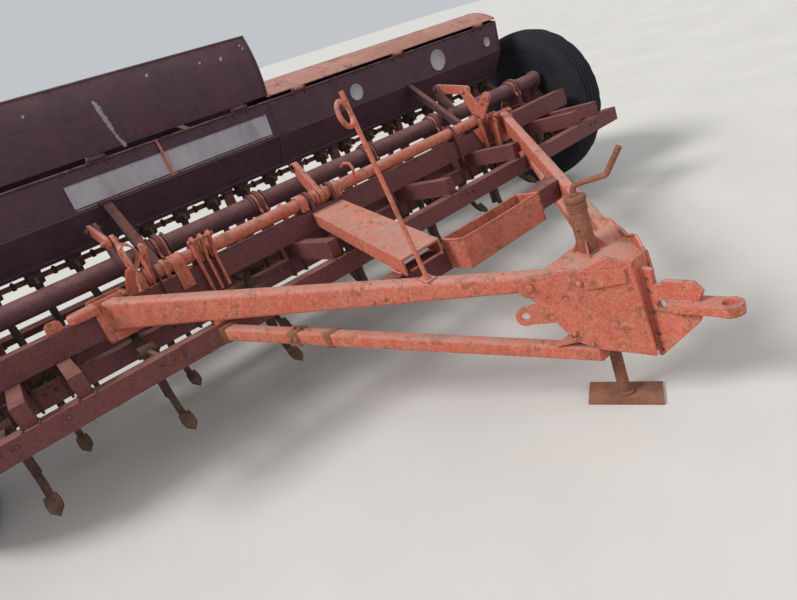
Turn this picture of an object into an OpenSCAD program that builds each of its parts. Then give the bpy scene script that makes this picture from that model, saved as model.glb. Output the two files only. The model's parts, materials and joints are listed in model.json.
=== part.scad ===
// Trailed seed drill with a drawbar, a spring-tine frame, a long seed hopper and two lift wheels.
// Units are millimetres. Every piece is drawn level, with X across the machine, -Y towards the
// drawbar, +Z up and z = 0 under the wheels. park() then leans it back onto its wheels and jack.

/* [Stance] */
// Angle the parked machine leans back by, its front end raised on the jack
nose_up = 8.3; // [4:0.1:9]
/* [Rows] */
// Number of sown rows
row_count = 20; // [16:1:20]
// Distance between two rows
row_spacing = 178; // [176:1:180]
/* [Hopper] */
// Length of the seed hopper
hopper_length = 3600; // [3590:5:3640]
// Height of the hopper's front top edge
hopper_edge_z = 1177; // [1170:1:1190]
// Distance of the hopper's front top edge behind the level frame's zero
hopper_edge_y = 857; // [850:1:865]
// Thickness of the hopper's sheet
sheet = 4; // [3:0.5:5]
// Slope of a closed lid, rising to the rear
lid_slope = 20; // [18:0.5:21]
// Angle at which an open lid stands
lid_open = 91; // [80:1:95]
/* [Wheels] */
// Outer radius of a tyre
tyre_r = 535; // [525:1:540]
// Width of a tyre
tyre_w = 245; // [230:1:255]
// Gap between a tyre's inner face and its crank
tyre_gap = 25; // [20:1:40]
/* [Beam] */
// Side of the square main beam
beam_size = 100; // [95:1:105]
// Height of the main beam's top
beam_top = 633; // [631:1:636]
// Place of the main beam's front face
beam_front_y = 463; // [458:1:466]
/* [Tine frame] */
// Height of a tine bar
bar_size = 76; // [72:1:78]
// Distance between two tine bars
bar_pitch = 450; // [440:1:455]
// Height of the tine tips
tip_z = 50; // [46:1:60]
/* [Lift] */
// Diameter of the rear lift shaft
rear_shaft_d = 90; // [86:1:92]
// Diameter of the front lift shaft
front_shaft_d = 60; // [58:1:62]
// Length of the lift arms between pin and shaft
lift_arm = 190; // [185:1:192]
/* [Drawbar] */
// Half the distance between the two legs where they meet the main beam
leg_root_x = 1198; // [1185:1:1205]
// Height of a leg's section at the main beam
leg_h = 120; // [114:1:124]
// Height of a leg's section at the head
leg_tip_h = 50; // [46:1:56]
// Width of a leg's section
leg_w = 50; // [48:1:54]
// Diameter of the hitch pin hole
pin_hole_d = 38; // [30:1:40]

/* [Hidden] */
$fn = 48;

bright_red = [0.78, 0.38, 0.32];
dark_red = [0.36, 0.19, 0.19];
shaft_purple = [0.33, 0.2, 0.26];
faded_pink = [0.66, 0.44, 0.4];
rust_brown = [0.4, 0.24, 0.17];
pale_grey = [0.6, 0.62, 0.68];
soil_black = [0.12, 0.1, 0.1];
tyre_black = [0.07, 0.07, 0.09];

// Clearances
pin_gap = 0.3;
swing_gap = 8;
lid_gap = 10;

// Main beam and tine frame
beam_half = hopper_length / 2;
beam_wall = 6;
beam_bottom = beam_top - beam_size;
beam_back_y = beam_front_y + beam_size;
rail_w = 50;
rail_h = 80;
bar_top = beam_bottom - rail_h;
bar_z = bar_top - bar_size / 2;
front_bar_y = 150;
bar_ys = [front_bar_y, front_bar_y + bar_pitch, front_bar_y + 2 * bar_pitch];
bar_half = (row_count - 1) / 2 * row_spacing + 69;
rail_xs = [356, 868, beam_half - 198];
spare_rail_x = 1424;
rail_front_y = front_bar_y - 10;
rail_back_y = bar_ys[2] + 60;

// Wheels and lift
axle_y = 934;
axle_z = tyre_r + 1;
rear_shaft_y = 718;
rear_shaft_z = 740;
front_shaft_y = beam_front_y + 29;
front_shaft_z = beam_top + front_shaft_d / 2 + 15;
lift_angle = 67;
link_plate = 16;
arm_x = 1038;
link_x = arm_x + link_plate + swing_gap;
crank_plate = 30;
crank_x = beam_half + 30;
tyre_inner_x = crank_x + crank_plate + tyre_gap;
stub_d = 60;
rim_r = 215;
link_pin_d = 25;

// Hopper section, front to rear, as [y, z] corners
bottom_drop = hopper_edge_z - 337;
hinge_y = hopper_edge_y - 9;
hinge_z = hopper_edge_z + 8;
rim_reach = 300;
rear_rim = [
    hinge_y + rim_reach * cos(lid_slope) + lid_gap * sin(lid_slope),
    hinge_z + rim_reach * sin(lid_slope) - lid_gap * cos(lid_slope)
];
hopper_outline = [
    [hopper_edge_y, hopper_edge_z],
    [hopper_edge_y + 24, hopper_edge_z - 183],
    [hopper_edge_y + 144, bottom_drop],
    [hopper_edge_y + 218, bottom_drop],
    [rear_rim[0] + 24, hopper_edge_z - 183],
    rear_rim
];
trough_y = hopper_edge_y + 144;
trough_w = 74;

// Lid, a crowned sheet on a chord
lid_chord = 318;
lid_crown = 31;
lid_radius = (pow(lid_chord / 2, 2) + pow(lid_crown, 2)) / (2 * lid_crown);
lid_half_gap = 6;
lid_length = hopper_length / 2 + 6 - lid_half_gap;

// Drawbar, from the main beam to the hitch head
leg_run = 1376;
leg_drop = 390;
leg_rise = 37;
leg_tip_x = 68;
leg_front_y = beam_front_y - leg_run;
leg_dx_per_y = (leg_root_x - leg_tip_x) / leg_run;
leg_drop_per_y = leg_drop / leg_run;
leg_yaw = atan2(leg_root_x - leg_tip_x, leg_run);
leg_skin = (leg_w / 2 + 1) / cos(leg_yaw);
function leg_x(y) = leg_root_x - leg_dx_per_y * (beam_front_y - y);
function leg_top(y) = beam_top + leg_rise - leg_drop_per_y * (beam_front_y - y);
function leg_bottom(y) = leg_top(y) - leg_h + (leg_h - leg_tip_h) * (beam_front_y - y) / leg_run;
cross_y = leg_front_y + 516;
jack_y = leg_front_y + 93;
jack_tube_d = 60;
jack_leg_d = 42;
jack_low_z = -8;
jack_top_z = 485;
jack_lift = 180;
tongue_z = 130;
tongue_w = 68;
tongue_t = 30;
tip_y = leg_front_y - 360;
pin_y = tip_y + 38;
tongue_back_y = leg_front_y - 155;
nose_hole = [-130, tongue_z - 3];
nose_hole_d = 34;
nose_bolt_d = 12;

// Park: where the ground lies once the machine leans back, and where its middle is
wheel_low_z = axle_z * cos(nose_up) - axle_y * sin(nose_up) - tyre_r;
front_reach = tip_y * cos(nose_up) + tongue_z * sin(nose_up);
rear_reach = axle_y * cos(nose_up) + axle_z * sin(nose_up) + tyre_r;
pad_t = 10;
pad_pivot_z = (wheel_low_z + pad_t + jack_y * sin(nose_up)) / cos(nose_up);

module park()
    translate([0, -(front_reach + rear_reach) / 2, -wheel_low_z])
        rotate([-nose_up, 0, 0])
            children();

// A box with its length along X, centred on y and z
module bar_x(x0, x1, y, z, depth, height)
    translate([x0, y - depth / 2, z - height / 2])
        cube([x1 - x0, depth, height]);

// A square tube along X, open at both ends
module tube_x(x0, x1, y, z, depth, height, wall)
    difference() {
        bar_x(x0, x1, y, z, depth, height);
        bar_x(x0 - 1, x1 + 1, y, z, depth - 2 * wall, height - 2 * wall);
    }

// A round bar along X
module rod_x(x0, x1, y, z, d)
    translate([x0, y, z])
        rotate([0, 90, 0])
            cylinder(d = d, h = x1 - x0);

// A round rod of straight steps through [y, z] points, each step run a little past its bend
module bent_rod(x, path, d)
    for (i = [1:len(path) - 1]) {
        step = path[i] - path[i - 1];
        overlap = i < len(path) - 1 ? d / 5 : 0;
        translate([x, path[i - 1][0], path[i - 1][1]])
            rotate([atan2(-step[0], step[1]), 0, 0])
                cylinder(d = d, h = norm(step) + overlap, $fn = 24);
    }

// Turns a [y, z] outline into a solid from x0 to x1
module side_plate(x0, x1)
    translate([x0, 0, 0])
        rotate([90, 0, 90])
            linear_extrude(x1 - x0)
                children();

// A flat link between two [y, z] points, with round ends of chords
module link_shape(p, q, width) {
    turn = atan2(q[1] - p[1], q[0] - p[0]);
    polygon([
        for (a = [90:15:270]) polar(p[0], p[1], width / 2, turn + a),
        for (a = [-90:15:90]) polar(q[0], q[1], width / 2, turn + a)
    ]);
}

function polar(y, z, r, a) = [y + r * cos(a), z + r * sin(a)];

module both_sides() {
    children();
    mirror([1, 0, 0])
        children();
}

// Moves each edge of a convex outline inwards by t
function unit(v) = v / norm(v);
function edge_in(a, b) = let (d = unit(b - a)) [-d[1], d[0]];
function meet(p, d, q, e) = p + d * ((q - p) * [e[1], -e[0]]) / (d * [e[1], -e[0]]);
function inset(pts, t) = [
    for (i = [0:len(pts) - 1])
        let (
            a = pts[(i + len(pts) - 1) % len(pts)],
            b = pts[i],
            c = pts[(i + 1) % len(pts)],
            n = edge_in(a, b),
            m = edge_in(b, c)
        )
        meet(b + n * t, unit(b - a), b + m * t, unit(c - b))
];

module main_beam()
    color(dark_red)
        park()
            tube_x(-beam_half, beam_half, beam_front_y + beam_size / 2, beam_top - beam_size / 2,
                beam_size, beam_size, beam_wall);

// One tapered leg runs from the beam's front face down to the head; side is -1 or 1
module drawbar_leg(side)
    color(bright_red)
        park()
            mirror([side > 0 ? 0 : 1, 0, 0])
                union() {
                    multmatrix([
                        [1, leg_dx_per_y, 0, leg_root_x - leg_dx_per_y * beam_front_y],
                        [0, 1, 0, 0],
                        [0, 0, 1, 0]
                    ])
                        leg_section();
                    leg_clamp();
                    translate([packer_x, front_bar_y - bar_size / 2, bar_top])
                        cube([leg_w + 20, bar_size, leg_bottom(front_bar_y - bar_size / 2) + 4 - bar_top]);
                }

leg_wall = 5;

module leg_section() {
    half_w = leg_w / cos(leg_yaw) / 2;
    inner = half_w - leg_wall / cos(leg_yaw);
    difference() {
        side_plate(-half_w, half_w)
            leg_profile(leg_front_y, 0);
        side_plate(-inner, inner)
            leg_profile(leg_front_y - 1, leg_wall);
    }
}

module leg_profile(y, t)
    polygon([
        [y, leg_bottom(y) + t], [beam_front_y, leg_bottom(beam_front_y) + t],
        [beam_front_y, leg_top(beam_front_y) - t], [y, leg_top(y) - t]
    ]);

packer_x = leg_x(front_bar_y) - leg_w / 2 - 10;
clamp_t = 12;
clamp_w = 150;
clamp_over = 45;
clamp_under = 28;
clamp_bolt_d = 16;

// Two plates and four bolts that hold a leg to the main beam
module leg_clamp() {
    x0 = leg_root_x - clamp_w / 2 - 18;
    z0 = beam_bottom - clamp_under;
    for (y = [beam_front_y - clamp_t, beam_back_y])
        translate([x0, y, z0])
            cube([clamp_w, clamp_t, beam_size + clamp_under + clamp_over]);
    for (x = [x0 + 16, x0 + clamp_w - 16], z = [beam_bottom - clamp_under / 2, beam_top + clamp_under / 2])
        translate([x, beam_front_y - clamp_t - 12, z])
            rotate([-90, 0, 0])
                cylinder(d = clamp_bolt_d, h = beam_size + 2 * clamp_t + 24);
}

module drawbar_leg_right() drawbar_leg(-1);
module drawbar_leg_left() drawbar_leg(1);

brace_back = [926, front_bar_y - bar_size / 2, bar_z];
brace_front_y = leg_front_y + 43;
brace_h = 50;
brace_w = 50;
brace_front = [leg_x(brace_front_y) + leg_skin - brace_w / 2, brace_front_y, -6];

module lower_brace(side)
    color(bright_red)
        park()
            mirror([side > 0 ? 0 : 1, 0, 0]) {
                run = brace_back[1] - brace_front[1];
                slope_x = (brace_back[0] - brace_front[0]) / run;
                slope_z = (brace_back[2] - brace_front[2]) / run;
                multmatrix([
                    [1, slope_x, 0, brace_front[0] - slope_x * brace_front[1]],
                    [0, 1, 0, 0],
                    [0, slope_z, 1, brace_front[2] - slope_z * brace_front[1]]
                ])
                    translate([-brace_w / 2, brace_front[1], -brace_h / 2])
                        cube([brace_w, run, brace_h]);
            }

module lower_brace_right() lower_brace(-1);
module lower_brace_left() lower_brace(1);

function leg_inside(y) = leg_x(y) - leg_w / cos(leg_yaw) / 2;

// A flat bar between the two legs from y0 to y1, its ends following them
module between_legs(y0, y1, z0, z1)
    translate([0, 0, z0])
        linear_extrude(z1 - z0)
            polygon([
                [-leg_inside(y0), y0], [leg_inside(y0), y0], [leg_inside(y1), y1], [-leg_inside(y1), y1]
            ]);

angle_t = 10;
angle_leg = 80;

// Angle iron between the two legs, its foot turned back
module cross_member() {
    top = leg_top(cross_y);
    color(dark_red)
        park()
            union() {
                between_legs(cross_y - angle_t / 2, cross_y + angle_t / 2, top - angle_leg, top);
                between_legs(cross_y, cross_y + angle_leg, top - angle_t, top);
            }
}

strut_back = [-140, beam_front_y, beam_top - 75];
strut_front = [-345, cross_y, leg_top(cross_y) + 1];
strut_over = 30;
strut_w = 180;
strut_h = 60;

// Flat box from the main beam forward over the cross member
module centre_strut() {
    run = strut_back[1] - strut_front[1];
    slope_x = (strut_back[0] - strut_front[0]) / run;
    slope_z = (strut_back[2] - strut_front[2]) / run;
    color(bright_red)
        park()
            multmatrix([
                [1, slope_x, 0, strut_front[0] - slope_x * strut_front[1]],
                [0, 1, 0, 0],
                [0, slope_z, 1, strut_front[2] - slope_z * strut_front[1]]
            ])
                difference() {
                    translate([-strut_w / 2, strut_front[1] - strut_over, 0])
                        cube([strut_w, run + strut_over, strut_h]);
                    translate([-strut_w / 2 + 8, strut_front[1] - strut_over - 1, -1])
                        cube([strut_w - 16, run + strut_over + 2, strut_h - 7]);
                }
}

head_plate = 10;
head_back_y = leg_front_y + 184;
deck_back_y = leg_front_y + 138;
head_front_y = leg_front_y - 80;
head_floor_z = 62;
deck_over = 5;

// Side plate of the head, drawn along a leg's outer face: s runs forward, z up
module head_side_shape() {
    lobe = [27, 290];
    lug = [-9, 197];
    difference() {
        union() {
            translate(lobe)
                circle(r = 34);
            polygon([
                [20, 257], [24, 324], [200, 306], [276, 326], [334, 280], [346, -44],
                [310, -28], [188, 22], [120, 71], [46, 215]
            ]);
            translate(lug)
                circle(r = 33);
            polygon([[-9, 230], [0, 165], [76, 152], [62, 230]]);
        }
        translate(lobe)
            circle(d = 22);
        translate(lug)
            circle(d = 28);
        for (hole = [[73, 240], [124, 229], [174, 214], [122, 93]])
            translate(hole)
                circle(d = 14);
    }
}

module along_leg(out)
    translate([leg_x(head_back_y) + leg_skin, head_back_y, 0])
        rotate([90, 0, -90 - leg_yaw])
            translate([0, 0, -out])
                mirror([0, 0, 1])
                    linear_extrude(head_plate)
                        children();

function deck_half(y) = leg_x(y) + leg_skin + deck_over;

// A level plate between the two side plates, with a hole for the jack
module head_deck(y0, y1, z)
    translate([0, 0, z])
        linear_extrude(8)
            difference() {
                polygon([
                    [-deck_half(y0), y0], [deck_half(y0), y0], [deck_half(y1), y1], [-deck_half(y1), y1]
                ]);
                translate([0, jack_y])
                    circle(d = jack_tube_d + 2 * pin_gap);
            }

module leg_slope()
    multmatrix([[1, 0, 0, 0], [0, 1, 0, 0], [0, leg_drop_per_y, 1, -leg_drop_per_y * jack_y]])
        children();

// Side plates, a deck on the legs, a floor over the braces and a front plate
module hitch_head()
    color(bright_red)
        park()
            union() {
                both_sides()
                    along_leg(0)
                        head_side_shape();
                leg_slope()
                    head_deck(deck_back_y, head_front_y, leg_top(jack_y));
                head_deck(deck_back_y, head_front_y, head_floor_z);
                translate([-38, head_front_y, -40])
                    cube([76, 8, 330]);
            }

module hitch_clevis()
    color(bright_red)
        park()
            difference() {
                union() {
                    side_plate(-9, 9)
                        translate([leg_front_y, 0])
                            nose_shape();
                    translate([-tongue_w / 2, pin_y, tongue_z - tongue_t / 2])
                        cube([tongue_w, tongue_back_y - pin_y, tongue_t]);
                    translate([0, pin_y, tongue_z - tongue_t / 2])
                        cylinder(d = tongue_w + 8, h = tongue_t);
                }
                translate([0, pin_y, tongue_z - tongue_t])
                    cylinder(d = pin_hole_d, h = 2 * tongue_t);
            }

// The clevis plate from the side, measured from the front of the legs
module nose_shape()
    difference() {
        polygon([
            [-80, -60], [-92, -60], [-229, 73], [-237, 91], [-236, 133], [-256, 178],
            [-233, 207], [-141, 209], [-136, 194], [-112, 196], [-115, 244], [-80, 254]
        ]);
        translate(nose_hole)
            circle(d = nose_hole_d);
        for (z = [-36, 23, 101, 172, 215])
            translate([-95, z])
                circle(d = nose_bolt_d);
    }

module jack_tube()
    color(rust_brown)
        park()
            difference() {
                union() {
                    translate([0, jack_y, jack_low_z])
                        cylinder(d = jack_tube_d, h = jack_top_z - jack_low_z);
                    translate([0, jack_y, jack_top_z])
                        cylinder(d = jack_tube_d + 6, h = 12);
                }
                translate([0, jack_y, jack_low_z - 1])
                    cylinder(d = jack_leg_d + 2 * pin_gap, h = jack_top_z - jack_low_z - 9);
            }

crank_rod_d = 19;
crank_bend = 26;
crank_neck = 20;
crank_throw = 92;
crank_grip = 88;
crank_lean = 84;
crank_back = 48;
crank_turn = 15;

// Headings of the crank rod's steps, in degrees forward from upright, and their lengths
crank_chord = crank_bend * 20 * PI / 180;
crank_steps = [
    [0, crank_neck],
    [crank_lean * 1 / 4, crank_chord],
    [crank_lean * 2 / 4, crank_chord],
    [crank_lean * 3 / 4, crank_chord],
    [crank_lean, crank_throw],
    [crank_lean - crank_back / 2, crank_chord],
    [crank_lean - crank_back, crank_grip]
];
function crank_point(i) =
    i == 0
        ? [0, jack_top_z + 12]
        : crank_point(i - 1) + crank_steps[i - 1][1] * [-sin(crank_steps[i - 1][0]), cos(crank_steps[i - 1][0])];

module jack_crank()
    color(rust_brown)
        park()
            union() {
                translate([0, jack_y, jack_top_z + 12])
                    cylinder(d = crank_rod_d + 10, h = 8);
                translate([0, jack_y, 0])
                    rotate([0, 0, crank_turn])
                        bent_rod(0, [for (i = [0:len(crank_steps)]) crank_point(i)], crank_rod_d);
            }

module jack_leg()
    color(rust_brown)
        park()
            translate([0, jack_y, pad_pivot_z + 16])
                cylinder(d = jack_leg_d, h = jack_top_z - 20 - jack_lift - pad_pivot_z - 16);

module jack_pad()
    color(rust_brown)
        park()
            translate([0, jack_y, pad_pivot_z])
                rotate([nose_up, 0, 0])
                    rotate([0, 0, 30])
                        union() {
                            translate([-60, -125, -pad_t])
                                cube([120, 250, pad_t]);
                            cylinder(d = jack_leg_d + 14, h = 12);
                            rotate([0, 0, -30])
                                rotate([-nose_up, 0, 0])
                                    cylinder(d = jack_leg_d - 4, h = 16);
                        }

box_x0 = -229;
box_x1 = 195;
box_depth = 109;
box_y1 = cross_y - angle_t / 2;
box_y0 = box_y1 - box_depth;
box_z0 = 351;
box_z1 = 464;
box_sheet = 4;

module toolbox()
    color(bright_red)
        park()
            difference() {
                translate([box_x0, box_y0, box_z0])
                    cube([box_x1 - box_x0, box_y1 - box_y0, box_z1 - box_z0]);
                translate([box_x0 + box_sheet, box_y0 + box_sheet, box_z0 + box_sheet])
                    cube([
                        box_x1 - box_x0 - 2 * box_sheet,
                        box_y1 - box_y0 - 2 * box_sheet,
                        box_z1 - box_z0
                    ]);
            }

rod_d = 16;
rod_h = 654;
rod_foot_y = leg_front_y + 421;
rod_lean = 7.6;
ring_r = 40;
rod_foot = 44;

module hose_holder()
    color(bright_red)
        park()
            translate([-leg_x(rod_foot_y), rod_foot_y, leg_top(rod_foot_y)])
                union() {
                    multmatrix([[1, 0, 0, 0], [0, 1, 0, 0], [0, leg_drop_per_y, 1, 0]])
                        translate([-rod_foot / 2, -rod_foot / 2, 0])
                            cube([rod_foot, rod_foot, 6]);
                    rotate([-rod_lean, 0, 0])
                        union() {
                            translate([0, 0, rod_d / 4])
                                cylinder(d = rod_d, h = rod_h - rod_d / 4);
                            translate([-ring_r * cos(30), -ring_r * sin(30), rod_h - 70])
                                rotate([90, 0, 30])
                                    rotate_extrude()
                                        translate([ring_r, 0])
                                            circle(d = rod_d);
                        }
                }

module tine_bar(y)
    color(dark_red)
        park()
            tube_x(-bar_half, bar_half, y, bar_z, bar_size, bar_size, beam_wall);

module tine_bar_front() tine_bar(bar_ys[0]);
module tine_bar_middle() tine_bar(bar_ys[1]);
module tine_bar_rear() tine_bar(bar_ys[2]);

module frame_rails()
    color(dark_red)
        park()
            both_sides()
                for (x = concat(rail_xs, spare_rail_x))
                    translate([x - rail_w / 2, rail_front_y, bar_top])
                        cube([rail_w, rail_back_y - rail_front_y, rail_h]);

function row_x(i) = (i - (row_count - 1) / 2) * row_spacing;

shank = [205, 165 + 20];
shank_r = [140, 165];
shank_t = 14;
shank_w = 28;
coil_d = 74;
coil_w = 70;
coil_reach = 274;

// A stiff arm behind a bar at y, a coil, a curved shank and its point
module tine(x, y) {
    side_plate(x - 30, x + 30)
        translate([y + bar_size / 2, bar_z - 34])
            square([8, 68]);
    side_plate(x - 8, x + 8)
        polygon([
            [y + bar_size / 2, bar_z - 24], [y + coil_reach, bar_z - 14],
            [y + coil_reach, bar_z + 14], [y + bar_size / 2, bar_z + 24]
        ]);
    rod_x(x - coil_w / 2, x + coil_w / 2, y + coil_reach, bar_z, coil_d);
    side_plate(x - shank_w / 2, x + shank_w / 2)
        polygon(concat(
            [for (a = [-76:14:64]) shank_point(y, shank_r, a)],
            [for (a = [64:-14:-76]) shank_point(y, shank_r - [shank_t, shank_t], a)]
        ));
    side_plate(x - 28, x + 28)
        translate(shank_point(y, shank_r, -76))
            polygon([[-36, -26], [-24, -26], [20, 10], [8, 18]]);
}

function shank_point(y, r, a) = [y + shank[0] + r[0] * cos(a), tip_z + shank[1] + r[1] * sin(a)];

module tine_row(first)
    color(soil_black)
        park()
            for (i = [first:3:row_count - 1])
                tine(row_x(i), bar_ys[first]);

module tines_front() tine_row(0);
module tines_middle() tine_row(1);
module tines_rear() tine_row(2);

tube_d = 34;
tube_sides = 10;
meter_half = 30;
spout = [trough_y + trough_w / 2, bottom_drop - 2 * meter_half];

// Bends of a seed tube behind each bar's tines, from the metering unit down
spout_foot = [spout[0], spout[1] - 40];
function tube_end(y) = [[y + tube_reach, 440], [y + tube_reach, 180]];
tube_reach = 375;
tube_paths = [
    concat([spout, spout_foot, [690, 478], [556, 478]], tube_end(bar_ys[0])),
    concat([spout, spout_foot, [1000, 520]], tube_end(bar_ys[1])),
    concat([spout, spout_foot, [1180, 560], [1330, 520]], tube_end(bar_ys[2]))
];

// Direction at a point of a path, halfway between the steps beside it
function heading(path, i) =
    unit(
        (i > 0 ? unit(path[i] - path[i - 1]) : [0, 0])
        + (i < len(path) - 1 ? unit(path[i + 1] - path[i]) : [0, 0])
    );
function widening(path, i) =
    i == 0 || i == len(path) - 1 ? 1 : 1 / (heading(path, i) * unit(path[i] - path[i - 1]));

// A hose of flat sides through [y, z] points in the plane of x
module hose(x, path, d, sides) {
    rings = len(path);
    points = [
        for (i = [0:rings - 1])
            let (across = [heading(path, i)[1], -heading(path, i)[0]] * widening(path, i))
            for (k = [0:sides - 1])
                let (turn = 360 * (k + 0.5) / sides, at = path[i] + across * d / 2 * sin(turn))
                [x + d / 2 * cos(turn), at[0], at[1]]
    ];
    walls = [
        for (i = [0:rings - 2])
            for (k = [0:sides - 1])
                let (n = (k + 1) % sides)
                [i * sides + k, i * sides + n, (i + 1) * sides + n, (i + 1) * sides + k]
    ];
    top = [for (k = [sides - 1:-1:0]) k];
    bottom = [for (k = [0:sides - 1]) (rings - 1) * sides + k];
    polyhedron(points, concat(walls, [top, bottom]));
}

module seed_tubes()
    color(soil_black)
        park()
            for (i = [0:row_count - 1])
                hose(row_x(i), tube_paths[i % 3], tube_d, tube_sides);

module hopper_body()
    color(dark_red)
        park()
            difference() {
                side_plate(-hopper_length / 2, hopper_length / 2)
                    polygon(hopper_outline);
                side_plate(-hopper_length / 2 + sheet, hopper_length / 2 - sheet)
                    polygon(hopper_hollow());
            }

// The inner faces, carried on past the open top
function hopper_hollow() =
    let (
        in = inset(hopper_outline, sheet),
        front_up = unit(in[0] - in[1]),
        rear_up = unit(in[5] - in[4])
    )
    [in[0] + front_up * 60, in[1], in[2], in[3], in[4], in[5] + rear_up * 60];

partition_y = hopper_edge_y + 150;
partition_h = 280;
partition_lift = 190;

module hopper_partitions()
    color(dark_red)
        park()
            union() {
                bar_x(-hopper_length / 2 + sheet, hopper_length / 2 - sheet,
                    partition_y, bottom_drop + partition_lift, 3, partition_h);
            }

front_brace_x = 940;

module hopper_supports()
    color(dark_red)
        park() {
            both_sides()
                for (x = rail_xs)
                    bar_x(x - 20, x + 20, trough_y + trough_w / 2, (beam_bottom + bottom_drop) / 2,
                        50, bottom_drop - beam_bottom);
            for (x = [-front_brace_x, front_brace_x])
                side_plate(x - 20, x + 20)
                    polygon([
                        [beam_front_y + 25, beam_top], [beam_front_y + 60, beam_top],
                        [hopper_edge_y + 44, hopper_edge_z - 209],
                        [hopper_edge_y + 24, hopper_edge_z - 183]
                    ]);
        }

hinge_xs = [beam_half * 0.1, beam_half * 0.5, beam_half * 0.9];
hinge_pin_d = 10;
hinge_eye_d = 18;
hinge_eye_w = 60;
lid_front = 14;

// Pins along the hopper's front edge, each between two small ears
module lid_hinges()
    color(dark_red)
        park()
            both_sides()
                for (x = hinge_xs) {
                    ear_x = hinge_eye_w / 2 + 5;
                    rod_x(x - ear_x, x + ear_x, hinge_y, hinge_z, hinge_pin_d);
                    for (side = [-1, 1])
                        side_plate(x + side * (ear_x + 3) - 3, x + side * (ear_x + 3) + 3) {
                            translate([hinge_y, hinge_z])
                                circle(d = hinge_eye_d);
                            polygon([
                                [hinge_y - hinge_eye_d / 2, hinge_z], [hopper_edge_y, hinge_z],
                                [hopper_edge_y, hopper_edge_z],
                                [hopper_edge_y + 4, hopper_edge_z - 30.5]
                            ]);
                        }
                }

// Eyes that turn on the pins, with their straps under the lid
module lid_eye(x)
    side_plate(x - hinge_eye_w / 2, x + hinge_eye_w / 2)
        difference() {
            union() {
                circle(d = hinge_eye_d);
                translate([4, 0])
                    square([24, 5]);
            }
            circle(d = hinge_pin_d + 2 * pin_gap);
        }

// A crowned lid drawn closed, from the middle of the hopper out to one end
module lid_shell(x0, x1)
    rotate([lid_slope, 0, 0])
        union() {
            for (x = hinge_xs)
                lid_eye(x0 > 0 ? x : -x);
            side_plate(x0, x1)
                crown_shape();
            side_plate(x0, x0 + 3)
                crown_end();
            side_plate(x1 - 3, x1)
                crown_end();
        }

lid_sheet = 4;

module crown_shape()
    intersection() {
        translate([lid_chord / 2 - 6, lid_crown - lid_radius])
            difference() {
                circle(r = lid_radius, $fn = 180);
                circle(r = lid_radius - lid_sheet, $fn = 180);
            }
        translate([lid_front, -1])
            square([lid_chord - 6 - lid_front, lid_crown + 5]);
    }

module crown_end()
    intersection() {
        translate([lid_chord / 2 - 6, lid_crown - lid_radius])
            circle(r = lid_radius, $fn = 180);
        translate([lid_front, 0])
            square([lid_chord - 6 - lid_front, lid_crown + 5]);
    }

module lid_right()
    color(dark_red)
        park()
            translate([0, hinge_y, hinge_z])
                rotate([lid_open - lid_slope, 0, 0])
                    lid_shell(-lid_half_gap - lid_length, -lid_half_gap);

module lid_left()
    color(faded_pink)
        park()
            translate([0, hinge_y, hinge_z])
                lid_shell(lid_half_gap, lid_half_gap + lid_length);

panel_turn = atan2(24, 183);

// Lays a plate on the hopper's sloping front panel at a height below its edge
module on_panel(x, drop)
    translate([x, hopper_edge_y, hopper_edge_z])
        rotate([panel_turn, 0, 0])
            translate([0, 0, -drop])
                rotate([90, 0, 0])
                    children();

sign_x = -561;
sign_l = 1022;
sign_h = 108;

module sign_plate()
    color(pale_grey)
        park()
            on_panel(sign_x, 116)
                translate([-sign_l / 2, -sign_h / 2, 0])
                    cube([sign_l, sign_h, 3]);

badges = [[541, 114, 90], [1210, 105, 125], [1680, 106, 60]];

module round_badges()
    color(pale_grey)
        park()
            for (b = badges)
                on_panel(b[0], b[1])
                    cylinder(d = b[2], h = 3);

module metering_units()
    color(rust_brown)
        park()
            for (i = [0:row_count - 1])
                bar_x(row_x(i) - meter_half, row_x(i) + meter_half, spout[0], bottom_drop - meter_half,
                    2 * meter_half, 2 * meter_half);

feed_d = 25;
feed_y = spout[0] + meter_half + feed_d / 2 + pin_gap;
feed_z = bottom_drop - meter_half;
case_x = beam_half - 60;
case_w = 56;
case_foot = [rear_shaft_y + 60, 580];

module feed_shaft()
    color(rust_brown)
        park()
            rod_x(-case_x, case_x, feed_y, feed_z, feed_d);

module drive_case()
    color(rust_brown)
        park()
            side_plate(case_x, case_x + 30)
                link_shape(case_foot, [feed_y, feed_z], case_w);

board_y0 = 1260;
board_y1 = 1440;
board_z = 560;

module footboard()
    color(dark_red)
        park()
            translate([-beam_half + 20, board_y0, board_z])
                cube([2 * beam_half - 40, board_y1 - board_y0, 30]);

module footboard_brackets()
    color(dark_red)
        park()
            both_sides()
                for (x = rail_xs)
                    translate([x - 6, rail_back_y, bar_top])
                        cube([12, board_y1 - 20 - rail_back_y, board_z - bar_top]);

module stand_shape(y, z, d, foot_z, half)
    difference() {
        union() {
            translate([y - half, foot_z])
                square([2 * half, z - foot_z]);
            translate([y, z])
                circle(r = half);
        }
        translate([y, z])
            circle(d = d + 2 * pin_gap);
    }

clamp_xs = [-980, -808, -771, -735, 771, 980];
hook_t = 22;

// A plate on the beam that holds the front lift shaft and hooks down the beam's front face
module shaft_clamp(x)
    side_plate(x - 4, x + 4)
        difference() {
            union() {
                polygon([
                    [beam_front_y - hook_t, beam_bottom - 22], [beam_front_y, beam_bottom - 30],
                    [beam_front_y, beam_top], [beam_front_y + 92, beam_top],
                    [front_shaft_y + 40, front_shaft_z + 22], [front_shaft_y, front_shaft_z + 10],
                    [beam_front_y - hook_t, front_shaft_z]
                ]);
                translate([front_shaft_y, front_shaft_z])
                    circle(r = front_shaft_d / 2 + 14);
            }
            translate([front_shaft_y, front_shaft_z])
                circle(d = front_shaft_d + 2 * pin_gap);
        }

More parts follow.
